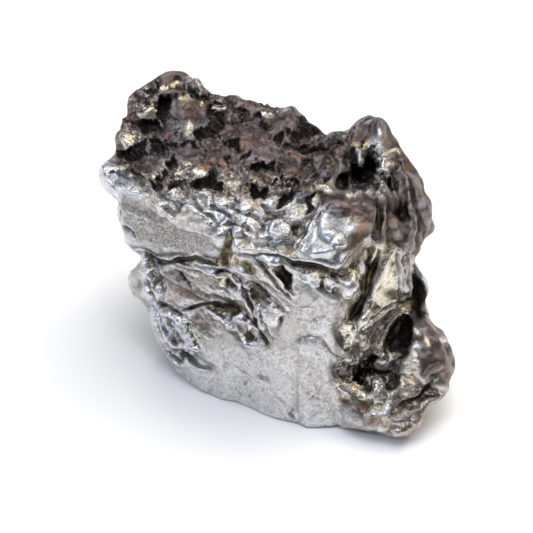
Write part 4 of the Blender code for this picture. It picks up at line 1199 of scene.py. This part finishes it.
# Single spots: finish, mark, half width and height, amount and turn
SPOTS = [
    ("brass", 113, 171, 5, 4, 0.8), ("rust", 146, 197, 5, 1.5, 0.7, 35), ("brass", 297, 229, 4, 8, 1, 10),
    ("rust", 361, 228, 12, 7, 1, -20), ("rust", 347, 204, 10, 4, 0.5), ("brass", 357, 246, 8, 6, 0.8, -45),
    ("brass", 251, 336, 6, 6, 0.9), ("rust", 344, 316, 3, 4, 0.9), ("brass", 366, 272, 6, 16, 0.8, 20),
    ("brass", 386, 222, 7, 26, 0.8), ("brass", 356, 266, 8, 6, 0.8), ("dim", 361, 158, 4, 10, 1),
    ("brass", 388, 362, 11, 7, 1), ("rust", 362, 406, 5, 6, 0.9), ("rust", 370, 421, 12, 6, 0.7),
    ("rust", 439, 350, 3, 8, 0.6, -30),
]
# Painted highlights on the dark dome
DOME_GLINTS = ((418, 334, 3, 4), (427, 343, 3, 7), (436, 378, 4, 5), (444, 338, 3, 4))


def lay_tones():
    each(tint, SPOTS)
    each(fill, POLISH_HIGHLIGHT_FILLS)
    clear("shine", LOBE_DOME, 0.8)
    for spot in DOME_GLINTS:
        painted_glint(*spot, 1, -25)
    each(fill, TONES)


for draw in (
    draw_left_corner, draw_brow, draw_bevel, draw_strut, draw_block, draw_folds,
    draw_chrome_left, draw_low_face, draw_under_block, draw_right_mid, draw_flank,
    draw_dish, draw_cave, draw_lobe, draw_side_glints, lay_tones,
):
    draw()


# Mesh
def read_points(mesh):
    out = np.empty(len(mesh.vertices) * 3)
    mesh.vertices.foreach_get("co", out)
    return out.reshape(-1, 3)


def write_points(mesh, points):
    mesh.vertices.foreach_set("co", points.ravel())
    mesh.update()


def read_normals(mesh):
    out = np.empty(len(mesh.vertices) * 3)
    mesh.vertices.foreach_get("normal", out)
    return out.reshape(-1, 3)


def bake_modifiers(item):
    graph = bpy.context.evaluated_depsgraph_get()
    baked = bpy.data.meshes.new_from_object(item.evaluated_get(graph))
    item.modifiers.clear()
    item.data = baked


def fuse(item, size):
    step = item.modifiers.new("fuse", "REMESH")
    step.mode = "VOXEL"
    step.voxel_size = size
    bake_modifiers(item)


def relax(item, factor, times):
    step = item.modifiers.new("relax", "SMOOTH")
    step.factor = factor
    step.iterations = times
    bake_modifiers(item)


def thin_out(item, wanted):
    have = sum(len(p.vertices) - 2 for p in item.data.polygons)
    step = item.modifiers.new("thin", "DECIMATE")
    step.ratio = min(1.0, wanted / have)
    step.use_collapse_triangulate = True
    bake_modifiers(item)


def marks_of(points):
    rel = points - np.array(EYE)
    depth = -(rel @ np.array(TOWARD))
    scale = VIEW_DISTANCE / depth / MARK_SIZE
    half = MARKS / 2.0
    return half + (rel @ np.array(ACROSS)) * scale, half - (rel @ np.array(UP)) * scale, depth


def sample(grid, u, v):
    x = np.clip(u * CELLS - 0.5, 0.0, SIDE - 1.001)
    y = np.clip(v * CELLS - 0.5, 0.0, SIDE - 1.001)
    ix = x.astype(int)
    iy = y.astype(int)
    fx = x - ix
    fy = y - iy
    top = grid[iy, ix] * (1 - fx) + grid[iy, ix + 1] * fx
    low = grid[iy + 1, ix] * (1 - fx) + grid[iy + 1, ix + 1] * fx
    return top * (1 - fy) + low * fy


def seen_share(points, normals):
    """1 where a point is open to the view, 0 behind the rim or behind nearer metal."""
    u, v, depth = marks_of(points)
    cell = 2.0
    side = int(MARKS / cell) + 2
    iu = np.clip((u / cell).astype(int), 0, side - 1)
    iv = np.clip((v / cell).astype(int), 0, side - 1)
    way = np.array(EYE) - points
    facing = np.einsum("ij,ij->i", normals, way) / np.linalg.norm(way, axis=1)
    nearest = np.full((side, side), 1e9)
    np.minimum.at(nearest, (iv, iu), depth)
    behind = depth - nearest[iv, iu]
    return smoothstep(0.05, 0.32, facing) * smoothstep(3.2, 1.6, behind)


def neighbour_average(mesh, values, times, pull=0.5, push=0.0):
    """Values evened out over the surface; push gives back what pull takes off the bulk."""
    count = len(mesh.vertices)
    pairs = np.empty(len(mesh.edges) * 2, dtype=np.int64)
    mesh.edges.foreach_get("vertices", pairs)
    a = pairs[0::2]
    b = pairs[1::2]
    degree = np.bincount(a, minlength=count) + np.bincount(b, minlength=count)
    degree = np.maximum(degree, 1).astype(float)
    flat = values.ndim == 1
    out = values[:, None].copy() if flat else values.copy()
    for _ in range(times):
        for share in (pull, -push) if push else (pull,):
            for k in range(out.shape[1]):
                column = out[:, k]
                total = np.bincount(a, column[b], count) + np.bincount(b, column[a], count)
                out[:, k] = column + share * (total / degree - column)
    return out[:, 0] if flat else out


def hidden_patches(points):
    """Noise that places the pits and the quiet patches where the view doesn't reach."""
    return layers3(points, 3.0, 221, 2), layers3(points, 15.0, 231, 2)


def hidden_relief(points, share):
    """Thumbprint creases, folds and pits over all that the view doesn't show."""
    fold = ridges3(points, 6.5, 201, 3)
    small = layers3(points, 2.2, 211, 3)
    pitted, quiet = hidden_patches(points)
    flat = smoothstep(-0.2, 0.5, quiet)
    rise = 0.28 * fold * (1.0 - 0.6 * flat) + 0.09 * small * (1.0 - 0.7 * flat)
    rise -= 0.35 * smoothstep(0.35, 0.8, pitted) * (1.0 - flat)
    return rise * (1.0 - share) * smoothstep(0.3, 3.0, points[:, 2])


# Way up in the picture along the top, then mark, reach and draw to the right and upward, in marks
RIM_UP = (0.0, 1.0, 0.445)
RIM_EASES = [
    (377, 125, 15, 0, 8), (398, 142, 9, 1, 3), (190, 82, 10, 0, 8), (418, 184, 12, 3, 3),
    (422, 286, 12, 7, 0), (438, 392, 13, 9, 0), (449, 362, 10, 3, 0), (176, 76, 10, 0, 3),
]


def ease_rim(points, high):
    """Draw parts of the rim out to where the picture has them, inside the solid's box."""
    u, v, depth = marks_of(points)
    lift = np.array(RIM_UP)
    across = np.array(ACROSS)
    for u0, v0, reach, right, up in RIM_EASES:
        away = (u - u0) ** 2 + (v - v0) ** 2
        front = depth[away < 9.0].min()
        share = np.exp(-away / reach ** 2 - ((depth - front) / 9.0) ** 2)
        move = MARK_SIZE * share[:, None] * (right * across + up * lift)
        room = np.clip((high - points) / 2.0, 0.0, 1.0)
        points = points + move * room
    return points


def fit_box(points, low, high):
    """Ease the points into the box of the solid they grew from."""
    for k in range(3):
        have_low = points[:, k].min()
        have_high = points[:, k].max()
        scale = (high[k] - low[k]) / (have_high - have_low)
        if scale < 1.0 or have_low < low[k] or have_high > high[k]:
            points[:, k] = low[k] + (points[:, k] - have_low) * min(1.0, scale)
            points[:, k] += max(0.0, (high[k] - low[k]) - (points[:, k].max() - points[:, k].min())) * 0.5
    return points


def refine(item):
    """Fused, evened and fused again, so that the mesh is fine enough to be drawn on."""
    mesh = item.data
    bm = bmesh.new()
    bm.from_mesh(mesh)
    bmesh.ops.remove_doubles(bm, verts=bm.verts, dist=1e-7)
    bmesh.ops.scale(bm, vec=(1.0 / MM,) * 3, verts=bm.verts)
    bm.to_mesh(mesh)
    bm.free()
    fuse(item, FUSE_SIZE)
    evened = neighbour_average(item.data, read_points(item.data), EVEN_ROUNDS, EVEN_PULL, EVEN_PUSH)
    write_points(item.data, evened)
    fuse(item, FINE_SIZE)
    relax(item, 0.5, 1)


def build_surface():
    """The lump's surface, grown from its solid and kept inside the solid's box."""
    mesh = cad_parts["iron_meteorite"].data.copy()
    mesh.name = "meteorite_surface"
    item = bpy.data.objects.new("meteorite_surface", mesh)
    bpy.context.scene.collection.objects.link(item)
    points = read_points(mesh) / MM
    low = points.min(axis=0)
    high = points.max(axis=0)
    refine(item)
    points = read_points(item.data)
    normals = neighbour_average(item.data, read_normals(item.data), 3)
    normals /= np.linalg.norm(normals, axis=1)[:, None]
    share = neighbour_average(item.data, seen_share(points, normals), 2)
    u, v, _ = marks_of(points)
    rise = sample(RISE, u, v) * share
    rise += hidden_relief(points, share)
    rise *= smoothstep(0.02, 0.6, points[:, 2])
    points += normals * rise[:, None]
    points = ease_rim(points, high)
    points = fit_box(points, low, high)
    write_points(item.data, points)
    thin_out(item, TRIANGLES)
    finish_attributes(item)
    points = np.clip(read_points(item.data), low, high) * MM
    write_points(item.data, points)
    for face in item.data.polygons:
        face.use_smooth = True
    return item


def store(mesh, name, values):
    layer = mesh.attributes.new(name, "FLOAT", "POINT")
    layer.data.foreach_set("value", np.clip(values, 0.0, 1.0).astype(np.float32))


def finish_attributes(item):
    """Keep hollows, crests and every finish on the mesh, painted light and shade among them: drawn where
    seen, by noise elsewhere.
    """
    mesh = item.data
    points = read_points(mesh)
    normals = read_normals(mesh)
    share = seen_share(points, normals)
    u, v, _ = marks_of(points)
    near, wide = (
        np.einsum("ij,ij->i", neighbour_average(mesh, points, rounds) - points, normals)
        for rounds in (NEAR_ROUNDS, WIDE_ROUNDS)
    )
    store(mesh, "hollow", smoothstep(0.02, 0.16, near) * 0.6 + smoothstep(0.08, 0.5, wide) * 0.6)
    store(mesh, "crest", smoothstep(-0.02, -0.14, near))
    hidden = 1.0 - share
    pitted, quiet = hidden_patches(points)
    patch = layers3(points, 9.0, 301, 3)
    # Where unseen, noise lays painted shade in pits, painted highlights and a painted bluish reflection
    # tint
    defaults = {
        "brass": 0.35 * smoothstep(0.1, 0.7, patch),
        "rust": 0.5 * smoothstep(0.55, 0.9, layers3(points, 5.0, 311, 3)),
        "oxide": 0.25 + 0.5 * smoothstep(-0.2, 0.6, layers3(points, 14.0, 321, 2)),
        "shine": 0.45 * smoothstep(-0.3, 0.5, layers3(points, 11.0, 331, 2)),
        "pit_shade": 0.9 * smoothstep(0.45, 0.75, pitted) * (1.0 - smoothstep(-0.2, 0.5, quiet)),
        "dim": 0.4 + 0.3 * patch,
        "warm": 0.5 + 0.4 * layers3(points, 12.0, 341, 2),
        "cool": 0.4 * smoothstep(0.0, 0.6, layers3(points, 10.0, 351, 2)),
        "calm": smoothstep(0.1, 0.6, quiet),
    }
    for name, grid in PAINT.items():
        store(mesh, name, sample(grid, u, v) * share + defaults[name] * hidden)


# Colours of the metal
BARE = (0.55, 0.535, 0.52)
BARE_DARK = (0.46, 0.44, 0.425)
# Burnished steel, also the colour of painted highlights
POLISHED_HIGHLIGHT = (0.78, 0.77, 0.77)
# Painted bluish reflection tint
BLUE_REFLECTION_TINT = (0.8, 0.86, 1.0)
WARM_TINT = (0.98, 0.86, 0.64)
# Painted gold highlight
GOLD_HIGHLIGHT = (0.93, 0.85, 0.67)
# Darker tone, also painted shade in creases
DULL_AND_SHADE_GREY = (0.15, 0.135, 0.135)
BRASS_DARK = (0.2, 0.165, 0.09)
BRASS_LIGHT = (0.72, 0.61, 0.38)
OXIDE_GREY = (0.175, 0.155, 0.18)
OXIDE_BROWN = (0.125, 0.07, 0.068)
OXIDE_WARM = (0.2, 0.155, 0.12)
RUST = (0.32, 0.13, 0.06)
# Darker colour laid into hollows
HOLLOW_DARK = (0.05, 0.04, 0.025)
# Painted shade in pits, cracks and holes
PIT_SHADE_BLACK = (0.018, 0.014, 0.012)
WORN = (0.8, 0.8, 0.83)
WORN_OXIDE = (0.5, 0.46, 0.47)
SPECK = (0.16, 0.15, 0.14)
GRIT = (0.13, 0.115, 0.11)


def metal():
    """Worn nickel iron: bare and burnished steel, gold tones, brass, oxide and rust, darker in hollows,
    with painted highlights, a painted bluish reflection and painted shade in pits and creases.
    """
    material = bpy.data.materials.new("worn_nickel_iron")
    material.use_nodes = True
    nodes = material.node_tree.nodes
    links = material.node_tree.links
    shader = nodes["Principled BSDF"]
    place = nodes.new("ShaderNodeTexCoord").outputs["Object"]

    def attribute(name):
        node = nodes.new("ShaderNodeAttribute")
        node.attribute_name = name
        return node.outputs["Fac"]

    def join(value, slot):
        if isinstance(value, (int, float)):
            slot.default_value = value
        elif isinstance(value, tuple):
            slot.default_value = (*value, 1.0)
        else:
            links.new(value, slot)

    def arithmetic(kind, a, b, clamp):
        node = nodes.new("ShaderNodeMath")
        node.operation = kind
        node.use_clamp = clamp
        join(a, node.inputs[0])
        join(b, node.inputs[1])
        return node.outputs[0]

    def times(a, b, clamp=False):
        return arithmetic("MULTIPLY", a, b, clamp)

    def plus(a, b, clamp=False):
        return arithmetic("ADD", a, b, clamp)

    def minus(a, b, clamp=False):
        return arithmetic("SUBTRACT", a, b, clamp)

    def mix(amount, a, b, kind="MIX"):
        node = nodes.new("ShaderNodeMix")
        node.data_type = "RGBA"
        node.blend_type = kind
        join(amount, node.inputs["Factor"])
        join(a, node.inputs[6])
        join(b, node.inputs[7])
        return node.outputs[2]

    def noise(size_mm, detail, rough=0.55, distort=0.0):
        node = nodes.new("ShaderNodeTexNoise")
        node.inputs["Scale"].default_value = 1.0 / (size_mm * MM)
        node.inputs["Detail"].default_value = detail
        node.inputs["Roughness"].default_value = rough
        node.inputs["Distortion"].default_value = distort
        links.new(place, node.inputs["Vector"])
        return node.outputs["Fac"]

    def ramp(value, low, high):
        node = nodes.new("ShaderNodeMapRange")
        node.interpolation_type = "SMOOTHSTEP"
        node.inputs["From Min"].default_value = low
        node.inputs["From Max"].default_value = high
        links.new(value, node.inputs["Value"])
        return node.outputs["Result"]

    broad = noise(6.0, 4.0)
    middle = noise(1.3, 5.0, 0.6, 0.4)
    fine = noise(0.4, 4.0, 0.65)
    ragged = times(minus(noise(0.9, 5.0, 0.7, 0.6), 0.5), 1.3)
    grit = noise(0.32, 3.0, 0.7, 1.2)
    specks = times(ramp(noise(0.55, 2.0, 0.5), 0.6, 0.68), 0.4)

    def torn(value, low=0.35, high=0.6):
        """The mask with its soft edge broken up by the ragged noise."""
        return ramp(plus(value, times(ragged, ramp(value, 0.02, 0.2))), low, high)

    hollow, crest, calm, shine, cool, warm, dim, brass, oxide, rust, pit_shade = (
        attribute(name)
        for name in (
            "hollow", "crest", "calm", "shine", "cool", "warm", "dim", "brass", "oxide", "rust", "pit_shade",
        )
    )
    wild = minus(1.0, calm)
    polish_highlight_mask = torn(shine)
    brass_on = torn(brass, 0.3, 0.7)
    rust_on = torn(rust)
    pit_shade_on = torn(pit_shade, 0.3, 0.6)
    polish_highlight_on = torn(shine, 0.3, 0.55)
    oxide_on = times(torn(times(oxide, 0.95), 0.25, 0.6), minus(1.0, times(polish_highlight_on, 0.95)), True)

    # Bare and burnished steel, with painted highlights, a painted bluish reflection tint, warm tones and
    # painted gold highlights
    steel = mix(ramp(broad, 0.35, 0.68), BARE, BARE_DARK)
    steel = mix(times(polish_highlight_mask, 0.8), steel, POLISHED_HIGHLIGHT)
    steel = mix(cool, steel, BLUE_REFLECTION_TINT, "MULTIPLY")
    warmth = times(warm, ramp(noise(3.0, 3.0, 0.6), 0.25, 0.5), True)
    steel = mix(warmth, steel, WARM_TINT, "MULTIPLY")
    gold_highlight = times(polish_highlight_mask, ramp(warm, 0.5, 0.9))
    steel = mix(times(gold_highlight, ramp(middle, 0.36, 0.54)), steel, GOLD_HIGHLIGHT)
    # Darker tone, which also lays painted shade in creases and on the brow
    dull_and_shade_mask = times(dim, minus(1.0, shine, True), True)
    grainy = plus(times(middle, wild), times(fine, calm))
    steel = mix(times(dull_and_shade_mask, ramp(grainy, 0.4, 0.6)), steel, DULL_AND_SHADE_GREY)

    # Brass, oxide and rust over it, then darker colour in hollows, painted shade in pits and cracks, worn
    # crests, specks and grit
    colour = mix(brass_on, steel, mix(ramp(middle, 0.46, 0.6), BRASS_DARK, BRASS_LIGHT))
    oxide_colour = mix(ramp(broad, 0.44, 0.56), OXIDE_GREY, OXIDE_BROWN)
    oxide_colour = mix(times(warm, 0.6), oxide_colour, OXIDE_WARM)
    colour = mix(times(oxide_on, 0.9), colour, oxide_colour)
    colour = mix(times(rust_on, 0.85), colour, RUST)
    deep = times(hollow, minus(1.0, times(calm, 0.4)))
    deep = times(deep, minus(1.0, times(shine, 0.35)))
    colour = mix(times(deep, 0.85, True), colour, HOLLOW_DARK)
    colour = mix(times(pit_shade_on, 0.95), colour, PIT_SHADE_BLACK)
    worn = times(crest, minus(0.8, times(oxide, 0.55)), True)
    worn = times(worn, minus(1.0, times(pit_shade, 0.8)))
    colour = mix(worn, colour, mix(oxide, WORN, WORN_OXIDE))
    colour = mix(specks, colour, SPECK)
    grit_share = plus(0.3, times(calm, 0.25))
    colour = mix(times(ramp(grit, 0.52, 0.6), grit_share), colour, GRIT)
    links.new(colour, shader.inputs["Base Color"])

    rough = plus(0.23, times(shine, -0.08))
    for part, share in (
        (calm, 0.15), (oxide_on, 0.1), (rust_on, 0.25), (minus(middle, 0.5), 0.3), (pit_shade_on, 0.3),
    ):
        rough = plus(rough, times(part, share))
    links.new(plus(rough, times(deep, 0.12), True), shader.inputs["Roughness"])
    links.new(minus(1.0, times(rust_on, 0.5), True), shader.inputs["Metallic"])

    height = plus(times(middle, 0.6), times(fine, 0.3))
    height = plus(height, times(ragged, 0.4))
    height = times(height, minus(1.0, times(times(shine, wild), 0.45)))
    height = plus(height, times(specks, -0.5))
    height = plus(height, times(grit, 0.35))
    bump = nodes.new("ShaderNodeBump")
    bump.inputs["Strength"].default_value = 0.6
    bump.inputs["Distance"].default_value = 0.3 * MM
    links.new(height, bump.inputs["Height"])
    links.new(bump.outputs["Normal"], shader.inputs["Normal"])
    return material


# Floor, light and camera
def add_floor():
    mesh = bpy.data.meshes.new("floor")
    bm = bmesh.new()
    bmesh.ops.create_grid(bm, x_segments=1, y_segments=1, size=3.0)
    bm.to_mesh(mesh)
    bm.free()
    item = bpy.data.objects.new("floor", mesh)
    bpy.context.scene.collection.objects.link(item)
    material = bpy.data.materials.new("pale_floor")
    material.use_nodes = True
    shader = material.node_tree.nodes["Principled BSDF"]
    shader.inputs["Base Color"].default_value = (0.9, 0.9, 0.91, 1.0)
    shader.inputs["Roughness"].default_value = 0.9
    shader.inputs["Specular IOR Level"].default_value = 0.2
    mesh.materials.append(material)


def add_light(name, azimuth, rise, distance, size, power, colour, mirrored=True):
    """Square soft light; azimuth 0 is behind the lump, 90 to its right."""
    data = bpy.data.lights.new(name, "AREA")
    data.shape = "SQUARE"
    data.size = size
    data.energy = power
    data.color = colour
    item = bpy.data.objects.new(name, data)
    bpy.context.scene.collection.objects.link(item)
    a = math.radians(azimuth)
    e = math.radians(rise)
    way = Vector((math.sin(a) * math.cos(e), math.cos(a) * math.cos(e), math.sin(e)))
    item.location = way * distance
    item.rotation_euler = way.to_track_quat("Z", "Y").to_euler()
    item.visible_glossy = mirrored


# Name, azimuth, rise, distance, size, power, colour; the first isn't mirrored in the metal
LIGHTS = [
    ("fill", 60.0, 72.0, 1.4, 1.2, 16.0, (1.0, 0.985, 0.96), False),
    ("overhead", 200.0, 80.0, 0.8, 0.3, 1.6, (0.88, 0.93, 1.0)),
    ("right_back", 60.0, 50.0, 0.9, 0.3, 1.3, (1.0, 0.86, 0.6)),
    ("left_front", 235.0, 50.0, 1.0, 0.4, 2.0, (0.82, 0.88, 1.0)),
    ("back", -25.0, 60.0, 1.0, 0.16, 0.8, (1.0, 0.88, 0.62)),
    ("back_soft", 0.0, 42.0, 1.0, 0.9, 1.6, (0.97, 0.96, 1.0)),
    ("left_soft", -95.0, 30.0, 1.0, 1.0, 1.1, (0.88, 0.93, 1.0)),
    ("right_soft", 95.0, 30.0, 1.0, 0.8, 0.8, (1.0, 0.9, 0.74)),
]


def add_world():
    world = bpy.data.worlds.new("room")
    world.use_nodes = True
    back = world.node_tree.nodes["Background"]
    back.inputs["Color"].default_value = (0.8, 0.86, 1.0, 1.0)
    back.inputs["Strength"].default_value = 0.13
    bpy.context.scene.world = world


def add_camera():
    data = bpy.data.cameras.new("camera")
    data.sensor_width = 36.0
    data.lens = 36.0 * VIEW_DISTANCE / (MARKS * MARK_SIZE)
    data.clip_start = 0.01
    item = bpy.data.objects.new("camera", data)
    bpy.context.scene.collection.objects.link(item)
    item.location = EYE * MM
    item.rotation_euler = TOWARD.to_track_quat("Z", "Y").to_euler()
    bpy.context.scene.camera = item


surface = build_surface()
surface.data.materials.clear()
surface.data.materials.append(metal())
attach(surface, "root")
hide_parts("iron_meteorite")
add_floor()
add_world()
for row in LIGHTS:
    add_light(*row)
bpy.context.scene.view_settings.view_transform = "Standard"
add_camera()
